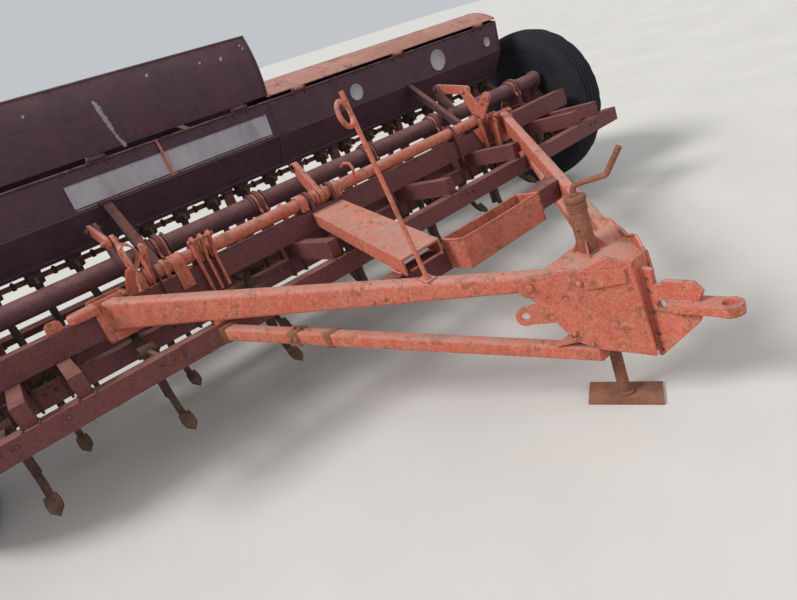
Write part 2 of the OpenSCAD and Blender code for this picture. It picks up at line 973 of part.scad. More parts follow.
module shaft_stands()
    color(dark_red)
        park() {
            both_sides() {
                for (x = rail_xs)
                    side_plate(x - 10, x + 10)
                        stand_shape(rear_shaft_y, rear_shaft_z, rear_shaft_d, beam_bottom,
                            rear_shaft_d / 2 + 20);
            }
            for (x = clamp_xs)
                shaft_clamp(x);
            for (x = [-215, -85])
                side_plate(x - 8, x + 8)
                    stand_shape(front_shaft_y, front_shaft_z, front_shaft_d, beam_top,
                        front_shaft_d / 2 + 14);
        }

// An arm from a shaft to its pin, wider round the shaft
module lift_arm_shape(y, z, foot_w) {
    tip = polar(y, z, lift_arm, lift_angle);
    polygon([
        for (a = [90:15:270]) polar(y, z, foot_w / 2, lift_angle + a),
        for (a = [-90:15:90]) polar(tip[0], tip[1], 25, lift_angle + a)
    ]);
}

// An arm that is welded round its shaft
module welded_arm(x0, y, z, d)
    side_plate(x0, x0 + link_plate)
        difference() {
            lift_arm_shape(y, z, d + 24);
            translate([y, z])
                circle(d = d + 2 * pin_gap);
        }

module rear_lift_shaft()
    color(shaft_purple)
        park()
            rod_x(-crank_x, crank_x, rear_shaft_y, rear_shaft_z, rear_shaft_d);

module rear_lift_arms()
    color(shaft_purple)
        park()
            both_sides() {
                welded_arm(arm_x, rear_shaft_y, rear_shaft_z, rear_shaft_d);
                lift_pin(rear_shaft_y, rear_shaft_z, link_pin_d);
            }

module lift_pin(y, z, d) {
    tip = polar(y, z, lift_arm, lift_angle);
    rod_x(arm_x, link_x + link_plate + 10, tip[0], tip[1], d);
}

module wheel_cranks()
    color(shaft_purple)
        park()
            both_sides() {
                side_plate(crank_x, crank_x + crank_plate)
                    link_shape([rear_shaft_y, rear_shaft_z], [axle_y, axle_z], 110);
                rod_x(crank_x + crank_plate, tyre_inner_x + tyre_w - 30, axle_y, axle_z, stub_d);
            }

eye_x = -147;
eye_t = 26;
eye_d = 30;
eye_angle = 56;

// Arm for the lift cylinder, narrowing to its eye
module eye_arm_shape() {
    tip = polar(front_shaft_y, front_shaft_z, lift_arm, eye_angle);
    polygon([
        for (a = [90:15:270]) polar(front_shaft_y, front_shaft_z, 38, eye_angle + a),
        for (a = [-90:15:90]) polar(tip[0], tip[1], eye_d / 2 + 7, eye_angle + a)
    ]);
}

module front_lift_shaft()
    color(bright_red)
        park()
            rod_x(-arm_x - link_plate, arm_x + link_plate, front_shaft_y, front_shaft_z, front_shaft_d);

lever_x = arm_x - 30;
lever_t = 12;
lever_tip = [-122, 112];

// Second arm of the front lift shaft, reaching forward, with two holes
module lever_shape() {
    tip = [front_shaft_y, front_shaft_z] + lever_tip;
    turn = atan2(lever_tip[1], lever_tip[0]);
    difference() {
        polygon([
            for (a = [90:15:270]) polar(front_shaft_y, front_shaft_z, front_shaft_d / 2 + 14, turn + a),
            for (a = [-90:15:90]) polar(tip[0], tip[1], 27, turn + a)
        ]);
        translate([front_shaft_y, front_shaft_z])
            circle(d = front_shaft_d + 2 * pin_gap);
        for (k = [0.68, 1])
            translate([front_shaft_y, front_shaft_z] + k * lever_tip)
                circle(d = 18);
    }
}

module front_lift_arms()
    color(bright_red)
        park() {
            both_sides() {
                welded_arm(arm_x, front_shaft_y, front_shaft_z, front_shaft_d);
                lift_pin(front_shaft_y, front_shaft_z, link_pin_d);
                side_plate(lever_x - lever_t, lever_x)
                    lever_shape();
            }
            side_plate(eye_x - eye_t / 2, eye_x + eye_t / 2)
                difference() {
                    eye_arm_shape();
                    translate(polar(front_shaft_y, front_shaft_z, lift_arm, eye_angle))
                        circle(d = eye_d);
                    translate([front_shaft_y, front_shaft_z])
                        circle(d = front_shaft_d + 2 * pin_gap);
                }
        }

module lift_links() {
    front = polar(front_shaft_y, front_shaft_z, lift_arm, lift_angle);
    rear = polar(rear_shaft_y, rear_shaft_z, lift_arm, lift_angle);
    color(bright_red)
        park()
            both_sides()
                side_plate(link_x, link_x + link_plate)
                    difference() {
                        link_shape(front, rear, 50);
                        translate(front)
                            circle(d = link_pin_d + 2 * pin_gap);
                        translate(rear)
                            circle(d = link_pin_d + 3);
                    }
}

// Tread, shoulders and walls around the rim, open to it on the inside
module tyre(side)
    color(tyre_black)
        park()
            translate([side * (tyre_inner_x + tyre_w / 2), axle_y, axle_z])
                rotate([0, 90, 0])
                    rotate_extrude($fn = 96)
                        difference() {
                            tyre_outline(0);
                            tyre_outline(18);
                        }

module tyre_outline(t) {
    half = tyre_w / 2 - t;
    top = tyre_r - t;
    foot = rim_r + pin_gap - (t > 0 ? 2 : 0);
    polygon([
        [foot, -half * 0.62], [rim_r + 40, -half * 0.88], [tyre_r - 130, -half],
        [tyre_r - 60, -half * 0.94], [top - 14, -half * 0.66], [top, -half * 0.3],
        [top, half * 0.3], [top - 14, half * 0.66], [tyre_r - 60, half * 0.94],
        [tyre_r - 130, half], [rim_r + 40, half * 0.88], [foot, half * 0.62]
    ]);
}

module tyre_right() tyre(-1);
module tyre_left() tyre(1);

module rim(side)
    color(faded_pink)
        park()
            translate([side * (tyre_inner_x + tyre_w / 2), axle_y, axle_z])
                rotate([0, 90, 0])
                    rotate_extrude()
                        polygon([
                            [stub_d / 2 + pin_gap, -50], [62, -50], [62, -10], [rim_r - 12, -10],
                            [rim_r - 12, -tyre_w * 0.3], [rim_r, -tyre_w * 0.3],
                            [rim_r, tyre_w * 0.3], [rim_r - 12, tyre_w * 0.3],
                            [rim_r - 12, 2], [62, 2], [62, 50], [stub_d / 2 + pin_gap, 50]
                        ]);

module rim_right() rim(-1);
module rim_left() rim(1);

main_beam();
drawbar_leg_right();
drawbar_leg_left();
lower_brace_right();
lower_brace_left();
cross_member();
centre_strut();
hitch_head();
hitch_clevis();
jack_tube();
jack_crank();
jack_leg();
jack_pad();
toolbox();
hose_holder();
tine_bar_front();
tine_bar_middle();
tine_bar_rear();
frame_rails();
tines_front();
tines_middle();
tines_rear();
seed_tubes();
hopper_body();
hopper_partitions();
hopper_supports();
lid_hinges();
lid_right();
lid_left();
sign_plate();
round_badges();
metering_units();
feed_shaft();
drive_case();
footboard();
footboard_brackets();
shaft_stands();
rear_lift_shaft();
rear_lift_arms();
wheel_cranks();
front_lift_shaft();
front_lift_arms();
lift_links();
tyre_right();
rim_right();
tyre_left();
rim_left();
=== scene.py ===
import bmesh
import bpy
import json
import random
from math import cos, pi, radians, sin, sqrt
from mathutils import Matrix, Vector


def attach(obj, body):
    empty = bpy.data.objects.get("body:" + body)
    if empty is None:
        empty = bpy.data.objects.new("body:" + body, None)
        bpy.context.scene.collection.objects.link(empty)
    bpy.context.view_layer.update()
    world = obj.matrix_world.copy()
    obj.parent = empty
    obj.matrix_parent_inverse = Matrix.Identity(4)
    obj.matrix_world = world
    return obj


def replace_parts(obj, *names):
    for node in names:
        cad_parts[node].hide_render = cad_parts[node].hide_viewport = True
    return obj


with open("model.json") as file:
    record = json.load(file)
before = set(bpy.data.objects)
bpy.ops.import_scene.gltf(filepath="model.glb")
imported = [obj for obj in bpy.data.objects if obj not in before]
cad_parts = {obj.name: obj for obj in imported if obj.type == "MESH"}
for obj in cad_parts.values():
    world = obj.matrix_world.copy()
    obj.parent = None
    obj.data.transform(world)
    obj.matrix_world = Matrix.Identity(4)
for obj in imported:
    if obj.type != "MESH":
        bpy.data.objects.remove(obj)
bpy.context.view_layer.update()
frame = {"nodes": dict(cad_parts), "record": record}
print("frame loaded:", len(frame["nodes"]), "nodes")

# The machine is drawn level, in millimetres, then leaned back as it is parked.
stance = {"noseUp": 8.3, "shiftY": -147.846, "lift": 139.443}
noseUp = radians(stance["noseUp"])
parked = (
    Matrix.Translation((0, stance["shiftY"] / 1000, stance["lift"] / 1000))
    @ Matrix.Rotation(-noseUp, 4, "X")
    @ Matrix.Scale(0.001, 4)
)
rng = random.Random(7)

# Directions of bolts, straps and shafts, with the machine's front towards -y
sideways, forward, backward = (1, 0, 0), (0, -1, 0), (0, 1, 0)
upward, downward = (0, 0, 1), (0, 0, -1)
namedSides = ((-1, "right"), (1, "left"))


def placed(name, data):
    item = bpy.data.objects.new(name, data)
    bpy.context.scene.collection.objects.link(item)
    return item


# Materials

# A node material under construction
class Finish:
    def __init__(self, name):
        self.material = bpy.data.materials.new(name)
        self.material.use_nodes = True
        self.nodes = self.material.node_tree.nodes
        self.links = self.material.node_tree.links
        self.nodes.clear()
        output = self.nodes.new("ShaderNodeOutputMaterial")
        self.shader = self.nodes.new("ShaderNodeBsdfPrincipled")
        self.links.new(self.shader.outputs[0], output.inputs[0])
        self.place = self.make("TexCoord", {}, "Object")

    # A tuple is a colour as it looks on screen, from 0 to 255
    def put(self, value, socket):
        if isinstance(value, bpy.types.NodeSocket):
            self.links.new(value, socket)
        else:
            socket.default_value = rgb(value) if isinstance(value, tuple) else value

    # The output of a new node, from its settings and from what goes into its sockets
    def make(self, kind, sockets, out=0, **settings):
        node = self.nodes.new("ShaderNode" + kind)
        for key, value in settings.items():
            setattr(node, key, value)
        for key, value in sockets.items():
            self.put(value, node.inputs[key])
        return node.outputs[out]

    def stretched(self, upScale):
        return self.make("Mapping", {0: self.place, "Scale": [1, 1, upScale]})

    def noise(self, scale, detail, rough=0.55, place=None, distortion=0.0):
        sockets = {"Scale": scale, "Detail": detail, "Roughness": rough, "Distortion": distortion}
        return self.make("TexNoise", {"Vector": place or self.place, **sockets}, "Fac")

    def span(self, value, low, high, outLow=0.0, outHigh=1.0):
        limits = {"From Min": low, "From Max": high, "To Min": outLow, "To Max": outHigh}
        return self.make("MapRange", {"Value": value, **limits})

    def math(self, kind, a, b):
        return self.make("Math", {0: a, 1: b}, operation=kind, use_clamp=True)

    def add(self, a, b):
        return self.math("ADD", a, b)

    def times(self, value, *others):
        for other in others:
            value = self.math("MULTIPLY", value, other)
        return value

    def mix(self, amount, a, b):
        return self.make("Mix", {"Factor": amount, 6: a, 7: b}, 2, data_type="RGBA")

    def normal(self):
        return self.make("NewGeometry", {}, "Normal")

    def part(self, vector, axis):
        return self.make("SeparateXYZ", {0: vector}, axis)

    def edges(self, radius):
        rounded = self.make("Bevel", {"Radius": radius}, samples=4)
        dot = self.make("VectorMath", {0: rounded, 1: self.normal()}, "Value", operation="DOT_PRODUCT")
        return self.span(dot, 0.97, 0.8), rounded

    def bump(self, height, strength, distance, rounded=None):
        sockets = {"Strength": strength, "Distance": distance, "Height": height}
        if rounded:
            sockets["Normal"] = rounded
        self.put(self.make("Bump", sockets), self.shader.inputs["Normal"])

    def coat(self, colour, rough, shine=0.5):
        self.put(colour, self.shader.inputs["Base Color"])
        self.put(rough, self.shader.inputs["Roughness"])
        self.shader.inputs["Specular IOR Level"].default_value = shine
        return self.material


def rgb(colour):
    linear = [((c / 255 + 0.055) / 1.055) ** 2.4 if c > 10.3 else c / 255 / 12.92 for c in colour]
    return (*linear, 1.0)


def weatheredPaint(name, look):
    look = {**commonWear, **look}
    f = Finish(name)
    broad = f.noise(look["patch"], 7, 0.62)
    middle = f.noise(look["patch"] * 5, 9, 0.68)
    mottle = f.noise(48, 8, 0.75)
    fine = f.noise(130, 6, 0.75)
    grain = f.noise(310, 4, 0.8)
    run = f.noise(7, 6, 0.7, f.stretched(look["runStretch"]), 0.4)
    up = f.span(f.part(f.normal(), 2), 0.2, 0.95)
    paint = f.mix(f.span(mottle, 0.34, 0.72), look["paint"], look["deep"])
    paint = f.mix(f.times(f.span(middle, 0.42, 0.62), look["bloom"]), paint, look["faded"])
    paint = f.mix(f.span(run, 0.48, 0.66, 0, look["runAmount"]), paint, look["runs"])
    paint = f.mix(f.times(up, f.span(broad, 0.25, 0.55), look["fade"]), paint, look["faded"])
    edge, rounded = f.edges(look["edgeWidth"])
    paint = f.mix(f.times(edge, 0.7), paint, look["faded"])
    # More paint is gone towards the nose
    bare = f.span(f.part(f.place, 1), look["bareFrom"], look["bareTo"], 0, 0.07)
    chips = f.times(f.span(f.add(middle, bare), 0.53, 0.59), f.span(mottle, 0.42, 0.52))
    worn = f.times(edge, f.span(f.noise(26, 8, 0.75), 0.46, 0.56))
    rust = f.add(f.times(chips, look["chips"]), f.times(worn, look["edgeWear"]))
    rustColour = f.mix(f.span(fine, 0.38, 0.62), look["rustDark"], look["rustLight"])
    colour = f.mix(rust, paint, rustColour)
    pits = f.math("MAXIMUM", f.span(grain, 0.55, 0.6), f.span(fine, 0.55, 0.61))
    colour = f.mix(f.times(pits, look["pits"]), colour, look["rustDark"])
    lights = f.math("MAXIMUM", f.span(grain, 0.44, 0.38), f.span(fine, 0.42, 0.36))
    colour = f.mix(f.times(lights, look["glint"]), colour, look["faded"])
    dust = f.times(up, f.span(f.noise(11, 5, 0.6), 0.35, 0.7), look["dust"])
    f.bump(f.add(f.times(grain, 0.4), f.times(fine, 0.6)), look["bump"], 0.0025, rounded)
    return f.coat(f.mix(dust, colour, look["soil"]), f.span(rust, 0, 1, look["rough"], 0.92), 0.35)


commonWear = {
    "patch": 3.2, "runStretch": 0.12, "runAmount": 0.35, "edgeWidth": 0.006, "bloom": 0.45,
    "chips": 0.9, "edgeWear": 0.85, "pits": 0.6, "glint": 0.5, "rough": 0.64, "bump": 0.5,
    "dust": 0.25, "fade": 0.85, "bareFrom": -1.9, "bareTo": -2.4, "runs": (120, 62, 46),
    "rustDark": (84, 46, 36), "rustLight": (150, 88, 58), "soil": (196, 160, 128),
}
paintLooks = {
    "drawbar_paint": {
        "paint": (208, 108, 84), "deep": (178, 80, 60), "faded": (220, 154, 132), "bloom": 0.4,
        "runs": (150, 76, 54), "rustDark": (104, 56, 44), "rustLight": (186, 108, 64),
        "fade": 0.5, "bump": 0.6, "glint": 0.4, "dust": 0.65, "soil": (176, 150, 142),
    },
    # Frame paint colours are written darker: partly the frame's own dark red, partly painted shade for the
    # rails and front bar under the machine
    "frame_paint": {
        "paint": (108, 54, 58), "deep": (82, 43, 49), "faded": (138, 82, 80), "bloom": 0.28,
        "rustDark": (58, 38, 36), "rustLight": (136, 80, 58), "fade": 0.65, "pits": 0.7,
    },
    "hopper_paint": {
        "paint": (76, 48, 60), "deep": (60, 40, 53), "faded": (112, 84, 92), "bloom": 0.2,
        "runs": (90, 60, 66), "runAmount": 0.5, "rustDark": (46, 34, 42),
        "rustLight": (104, 68, 64), "patch": 2.6, "chips": 0.6, "pits": 0.5, "glint": 0.25,
    },
    "faded_paint": {
        "paint": (168, 108, 98), "deep": (148, 88, 82), "faded": (188, 140, 128),
        "runs": (130, 74, 66), "runAmount": 0.5, "rustDark": (96, 52, 46),
        "rustLight": (146, 84, 66), "patch": 1.6, "rough": 0.8, "dust": 0.35,
    },
    "shaft_paint": {
        "paint": (98, 60, 70), "deep": (80, 48, 58), "faded": (134, 92, 94), "bloom": 0.3,
        "rustDark": (66, 44, 44), "rustLight": (124, 80, 66), "chips": 0.75,
    },
    "rim_paint": {
        "paint": (164, 120, 104), "deep": (146, 98, 84), "faded": (180, 150, 132),
        "chips": 1.0, "rough": 0.8,
    },
}


def rustySteel(name, look):
    f = Finish(name)
    broad = f.noise(9, 6, 0.6)
    fine = f.noise(120, 7, 0.7)
    grain = f.noise(600, 3, 0.7)
    colour = f.mix(f.span(broad, 0.35, 0.65), look["dark"], look["middle"])
    colour = f.mix(f.times(f.span(fine, 0.5, 0.68), look["blotch"]), colour, look["light"])
    edge, rounded = f.edges(0.003)
    colour = f.mix(f.times(edge, 0.5), colour, look["edge"])
    dust = f.times(f.span(f.part(f.normal(), 2), 0.3, 0.9), f.span(broad, 0.3, 0.7), look["dust"])
    f.bump(f.add(f.times(fine, 0.6), f.times(grain, 0.4)), 0.5, 0.002, rounded)
    return f.coat(f.mix(dust, colour, look["soil"]), f.span(fine, 0.3, 0.7, 0.7, 0.92), 0.3)


steelLooks = {
    "rusty_steel": {
        "dark": (108, 66, 54), "middle": (144, 92, 74), "light": (176, 118, 88),
        "edge": (176, 124, 100), "blotch": 0.7, "dust": 0.25, "soil": (188, 152, 120),
    },
    # Dark steel is written darker than the rusty steel: partly the parts' own rust, partly painted shade for
    # the tines, metering housings and ties under the hopper and frame
    "dark_steel": {
        "dark": (52, 40, 40), "middle": (78, 54, 48), "light": (120, 78, 58),
        "edge": (112, 84, 72), "blotch": 0.6, "dust": 0.35, "soil": (188, 152, 120),
    },
}


def dustyRubber(name, look):
    f = Finish(name)
    broad = f.noise(7, 6, 0.6)
    fine = f.noise(220, 5, 0.65)
    colour = f.mix(f.span(fine, 0.3, 0.7), look["dark"], look["light"])
    dust = f.times(f.span(broad, 0.4, 0.75), look["dust"])
    f.bump(fine, 0.35, 0.0015)
    return f.coat(f.mix(dust, colour, look["soil"]), f.span(broad, 0.3, 0.7, 0.72, 0.9), 0.3)


rubberLooks = {
    "tyre": {"dark": (15, 18, 25), "light": (29, 31, 39), "dust": 0.1, "soil": (104, 94, 88)},
    "tube_rubber": {"dark": (46, 42, 42), "light": (70, 62, 58), "dust": 0.4, "soil": (124, 104, 90)},
}


def weatheredSheet(name, look):
    f = Finish(name)
    broad = f.noise(5, 6, 0.6)
    fine = f.noise(150, 6, 0.7)
    run = f.noise(9, 5, 0.65, f.stretched(0.15), 0.2)
    colour = f.mix(f.span(broad, 0.35, 0.65), look["dark"], look["light"])
    colour = f.mix(f.span(run, 0.5, 0.75, 0, 0.55), colour, look["runs"])
    edge, rounded = f.edges(0.004)
    spots = f.times(f.span(fine, 0.58, 0.68), f.span(broad, 0.4, 0.7))
    spots = f.add(spots, f.times(edge, 0.7))
    f.bump(fine, 0.2, 0.001, rounded)
    return f.coat(f.mix(spots, colour, look["rust"]), 0.6)


sheetLooks = {
    "sign_sheet": {
        "dark": (150, 150, 160), "light": (170, 168, 172), "runs": (126, 108, 108), "rust": (112, 66, 58),
    },
}
finishes = {}
for maker, looks in (
    (weatheredPaint, paintLooks), (rustySteel, steelLooks),
    (dustyRubber, rubberLooks), (weatheredSheet, sheetLooks),
):
    finishes.update({name: maker(name, look) for name, look in looks.items()})
for item in frame["record"]["subparts"]:
    node = frame["nodes"][item["node"]]
    node.data.materials.clear()
    node.data.materials.append(finishes[item["material_slot"]])
print("finishes ready:", len(finishes))

# Shapes, drawn in level machine millimetres and leaned back at the end

# A point around an axis, from its turn and radius and its shift along the axis
def around(centre, along, turn, r, shift=0.0):
    along = Vector(along).normalized()
    side = along.orthogonal().normalized()
    return Vector(centre) + along * shift + (side * cos(turn) + along.cross(side) * sin(turn)) * r


class Shape:
    def __init__(self):
        self.mesh = bmesh.new()

    def loft(self, rings, wrapped=False):
        rows = [[self.mesh.verts.new(point) for point in ring] for ring in rings]
        count = len(rows[0])
        pairs = list(zip(rows, rows[1:])) + ([(rows[-1], rows[0])] if wrapped else [])
        for low, high in pairs:
            for i in range(count):
                j = (i + 1) % count
                self.mesh.faces.new((low[i], low[j], high[j], high[i]))
        if not wrapped:
            self.mesh.faces.new(rows[0][::-1])
            self.mesh.faces.new(rows[-1])

    def plate(self, outline, low, high, axis="x", chamfer=1.2):
        centre = Vector([sum(values) / len(outline) for values in zip(*outline)])
        order = {"x": (2, 0, 1), "y": (0, 2, 1), "z": (0, 1, 2)}[axis]

        def ring(along, inward):
            points = [Vector(p) + (centre - Vector(p)).normalized() * inward for p in outline]
            return [[(*p, along)[i] for i in order] for p in points]

        steps = [(low, chamfer), (low + chamfer, 0), (high - chamfer, 0), (high, chamfer)]
        self.loft([ring(along, inward) for along, inward in steps])

    def block(self, low, high, chamfer=1.5):
        outline = [(low[1], low[2]), (high[1], low[2]), (high[1], high[2]), (low[1], high[2])]
        self.plate(outline, low[0], high[0], "x", chamfer)

    def tube(self, points, d, sides, closed=False, wobble=0.0):
        points = [Vector(p) for p in points]
        rings = []
        side = None
        for i, point in enumerate(points):
            before = points[i - 1] if i or closed else point
            after = points[(i + 1) % len(points)] if i < len(points) - 1 or closed else point
            ahead = (after - before).normalized()
            if side is None:
                side = ahead.orthogonal().normalized()
            side = (side - ahead * side.dot(ahead)).normalized()
            up = ahead.cross(side)
            radius = d[i] / 2 if isinstance(d, list) else d / 2
            ring = []
            for k in range(sides):
                turn = 2 * pi * k / sides
                reach = radius * (1 + rng.uniform(-wobble, wobble))
                ring.append(point + side * reach * cos(turn) + up * reach * sin(turn))
            rings.append(ring)
        self.loft(rings, closed)

    def strip(self, points, wide, thick, across=(1, 0, 0)):
        points = [Vector(p) for p in points]
        across = Vector(across).normalized()
        rings = []
        for i, point in enumerate(points):
            ahead = (points[min(i + 1, len(points) - 1)] - points[max(i - 1, 0)]).normalized()
            up = across.cross(ahead).normalized() * thick / 2
            reach = across * (wide[i] if isinstance(wide, list) else wide) / 2
            rings.append([point - reach - up, point + reach - up, point + reach + up, point - reach + up])
        self.loft(rings)

    def rod(self, start, end, d, sides):
        start, end = Vector(start), Vector(end)
        ahead = (end - start).normalized()
        self.tube([start, start + ahead, end - ahead, end], [d - 2, d, d, d - 2], sides)

    def lathe(self, profile, centre, along, sides, start=0.0):
        turns = [start + 2 * pi * k / sides for k in range(sides)]
        self.loft([[around(centre, along, t, max(r, 0.05), shift) for t in turns] for r, shift in profile])

    def bolt(self, place, out, size, stub=0):
        head, wide = size * 0.6, size * 0.86
        turn = rng.uniform(0, 1)
        self.lathe([(size * 0.98, 0), (size * 0.98, 2), (size * 0.6, 2.2)], place, out, 14)
        flats = [(size * 0.8, 1.5), (wide, 2.5), (wide, head), (size * 0.7, head + 1.6), (0, head + 1.8)]
        self.lathe(flats, place, out, 6, turn)
        if stub:
            threads = [(size * (0.5 if k % 2 else 0.44), head + stub * k / 7) for k in range(8)]
            self.lathe(threads + [(0, head + stub + 0.5)], place, out, 10)

    def rivet(self, place, out, size):
        dome = [(size * r, size * rise) for r, rise in ((0.96, 0.25), (0.7, 0.5), (0.3, 0.62))]
        self.lathe([(size, -0.5)] + dome, place, out, 10)

    def weld(self, start, end, size):
        start, end = Vector(start), Vector(end)
        count = max(3, int((end - start).length / (size * 0.8)))
        points = [start.lerp(end, k / count) for k in range(count + 1)]
        self.tube(points, [size * rng.uniform(0.8, 1.25) for _ in points], 7, wobble=0.12)

    def coil(self, centre, along, radius, wire, turns, length, sides=8, steps=18):
        count = int(turns * steps)
        points = [
            around(centre, along, 2 * pi * k / steps, radius, (k / count - 0.5) * length)
            for k in range(count + 1)
        ]
        self.tube(points, wire, sides)

    def hoop(self, centre, along, radius, d, steps=24, sides=6, wobble=0.0):
        points = [around(centre, along, 2 * pi * k / steps, radius) for k in range(steps)]
        self.tube(points, d, sides, closed=True, wobble=wobble)

    # A ring with bevelled ends around a shaft along x, with a set screw on top
    def collar(self, place, bore, rim, half, sides, screw):
        x, y, z = place
        self.lathe([(bore, -half), (rim, 2 - half), (rim, half - 2), (bore, half)], place, (1, 0, 0), sides)
        self.bolt((x, y, z + rim - 1), (0, 0, 1), screw)

    def piece(self, name, look, body="frame", sharp=38):
        bmesh.ops.recalc_face_normals(self.mesh, faces=self.mesh.faces)
        bmesh.ops.transform(self.mesh, matrix=parked, verts=self.mesh.verts)
        data = bpy.data.meshes.new(name)
        self.mesh.to_mesh(data)
        self.mesh.free()
        data.shade_smooth()
        data.set_sharp_from_angle(angle=radians(sharp))
        data.materials.append(finishes[look])
        item = placed(name, data)
        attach(item, body)
        return item


def polar(y, z, r, degrees):
    turn = radians(degrees)
    return (y + r * cos(turn), z + r * sin(turn))


# Every x on the right, then on the left
def bothSides(places):
    return [side * x for side in (-1, 1) for x in places]


# Tyres with ribs, shoulders and rings on their walls

tyreLook = {
    "axle": (934, 536), "middle": 2007.5, "r": 535, "width": 245, "rimR": 215.3, "steps": 144,
    "grooves": (-62, -31, 0, 31, 62), "grooveDeep": 13, "grooveWide": 5, "zigzag": 4, "lug": 3,
    # Points of a wall: rise from the rim or fall from the tread, and share of the half width
    "lowWall": [
        (0, 0.62), (12, 0.68), (26, 0.78), (40, 0.88), (62, 0.925), (66, 0.945), (74, 0.95), (78, 0.935),
    ],
    "highWall": [
        (190, 0.96), (160, 0.985), (130, 1.0), (104, 0.992), (100, 1.0), (84, 0.985), (60, 0.94),
        (34, 0.86), (22, 0.76),
    ],
}


# Radius and place across the tyre, and whether the point is on the ribbed tread
def tyreProfile():
    half, r, wide = tyreLook["width"] / 2, tyreLook["r"], tyreLook["grooveWide"]
    wall = [(tyreLook["rimR"] + rise, share * half) for rise, share in tyreLook["lowWall"]]
    wall += [(r - fall, share * half) for fall, share in tyreLook["highWall"]]
    points = [(radius, -across, False) for radius, across in wall]
    for groove in tyreLook["grooves"]:
        crown = r - 13 * (abs(groove) / (half * 0.66)) ** 2.4
        floor = crown - tyreLook["grooveDeep"]
        section = (
            (crown - 0.5, -wide - 2.5), (crown - 2, -wide), (floor, -wide / 2),
            (floor, wide / 2), (crown - 2, wide), (crown - 0.5, wide + 2.5),
        )
        points += [(radius, groove + shift, True) for radius, shift in section]
    return points + [(radius, across, False) for radius, across in reversed(wall)]


profile = tyreProfile()
for side, name in namedSides:
    tyre = Shape()
    y, z = tyreLook["axle"]
    rings = []
    for k in range(tyreLook["steps"]):
        turn = 2 * pi * k / tyreLook["steps"]
        shift = tyreLook["zigzag"] * (1 if (k // 3) % 2 else -1)
        lug = tyreLook["lug"] if k % 4 < 2 else 0
        ring = []
        for radius, across, tread in profile:
            onShoulder = not tread and 20 < tyreLook["r"] - radius < 62
            reach = radius + (lug if onShoulder else 0)
            x = tyreLook["middle"] + across + (shift if tread else 0)
            ring.append((side * x, y + reach * cos(turn), z + reach * sin(turn)))
        rings.append(ring)
    tyre.loft(rings, wrapped=True)
    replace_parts(tyre.piece("tread_" + name, "tyre", "wheel_" + name, 50), "tyre_" + name)
print("tyres ready")

# Wheel hubs, nuts, valves and rim beads

hubLook = {"nuts": 6, "nutRing": 51, "bolts": 8, "boltRing": 118, "faceOut": 50, "discOut": 2, "beadR": 208}
for side, name in namedSides:
    hub = Shape()
    y, z = tyreLook["axle"]
    out = (side, 0, 0)
    face = side * (tyreLook["middle"] + hubLook["faceOut"])
    disc = side * (tyreLook["middle"] + hubLook["discOut"])
    hub.lathe([(40, -2), (40, 6), (36, 16), (24, 22), (10, 24), (0, 24)], (face, y, z), out, 28)
    for k in range(hubLook["nuts"]):
        hub.bolt((face, *polar(y, z, hubLook["nutRing"], 360 / hubLook["nuts"] * k + 15)), out, 9, 6)
    for k in range(hubLook["bolts"]):
        hub.bolt((disc, *polar(y, z, hubLook["boltRing"], 360 / hubLook["bolts"] * k)), out, 13, 10)
    hub.lathe([(96, 0), (92, 6), (84, 8), (70, 6), (64, 0)], (disc, y, z), out, 40)
    for edge in (-1, 1):
        rim = tyreLook["middle"] + edge * tyreLook["width"] * 0.3
        hub.hoop((side * rim, y, z), sideways, hubLook["beadR"], 13, 72, 8)
    valveY, valveZ = polar(y, z, 188, 70)
    hub.rod((disc, valveY, valveZ), (disc + side * 46, valveY + 2, valveZ + 2), 9, 10)
    hub.piece("hub_" + name, "rim_paint", "wheel_" + name)
print("hubs ready")

# Seed tubes of ribbed hose, each path as y and z

hoseLook = {"d": 31, "rib": 35, "pitch": 11, "sides": 12, "rows": 20, "spacing": 178, "sway": 5}
spout = [(1038, 777), (1038, 737)]
rowXs = [(i - (hoseLook["rows"] - 1) / 2) * hoseLook["spacing"] for i in range(hoseLook["rows"])]
hosePaths = [
    spout + [(690, 478), (556, 478), (525, 440), (525, 180)],
    spout + [(1000, 520), (975, 440), (975, 180)],
    spout + [(1180, 560), (1330, 520), (1425, 440), (1425, 180)],
]


def rounded(path, reach, steps=4):
    out = [Vector(path[0])]
    for a, b, c in zip(path, path[1:], path[2:]):
        a, b, c = Vector(a), Vector(b), Vector(c)
        cut = min(reach, (b - a).length * 0.45, (c - b).length * 0.45)
        start, end = b + (a - b).normalized() * cut, b + (c - b).normalized() * cut
        for k in range(steps + 1):
            t = k / steps
            out.append(start * (1 - t) ** 2 + b * 2 * t * (1 - t) + end * t * t)
    out.append(Vector(path[-1]))
    return out


def resampled(path, pitch):
    out, left = [path[0]], 0.0
    for a, b in zip(path, path[1:]):
        length = (b - a).length
        way = pitch - left
        while way <= length:
            out.append(a.lerp(b, way / length))
            way += pitch
        left = length - (way - pitch)
    return out


hoses = Shape()
for i, rowX in enumerate(rowXs):
    sway = rng.uniform(-hoseLook["sway"], hoseLook["sway"])
    flatPath = resampled(rounded(hosePaths[i % 3], 34), hoseLook["pitch"] / 2)
    total = len(flatPath)
    points = [(rowX + sway * sin(pi * k / total), *p) for k, p in enumerate(flatPath)]
    sizes = [hoseLook["rib"] if k % 2 else hoseLook["d"] for k in range(total)]
    hoses.tube(points, sizes, hoseLook["sides"])
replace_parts(hoses.piece("ribbed_hoses", "tube_rubber", sharp=70), "seed_tubes")
print("seed tubes ready")

# Tines with sprung coils, curved shanks and bolted points

tineLook = {
    "barY": (150, 600, 1050), "barHalf": 38, "barZ": 415, "coilR": 32, "coil": (9, 7.5, 62),
    "reach": 274, "centre": (205, 235), "reachY": 133, "reachZ": 158, "thick": 13, "wide": 28,
    # Rows of the point, from the shank's end in y and z, and their half width
    "point": ((-42, -24, 4), (-20, -8, 25), (4, 12, 28), (26, 34, 24)),
}


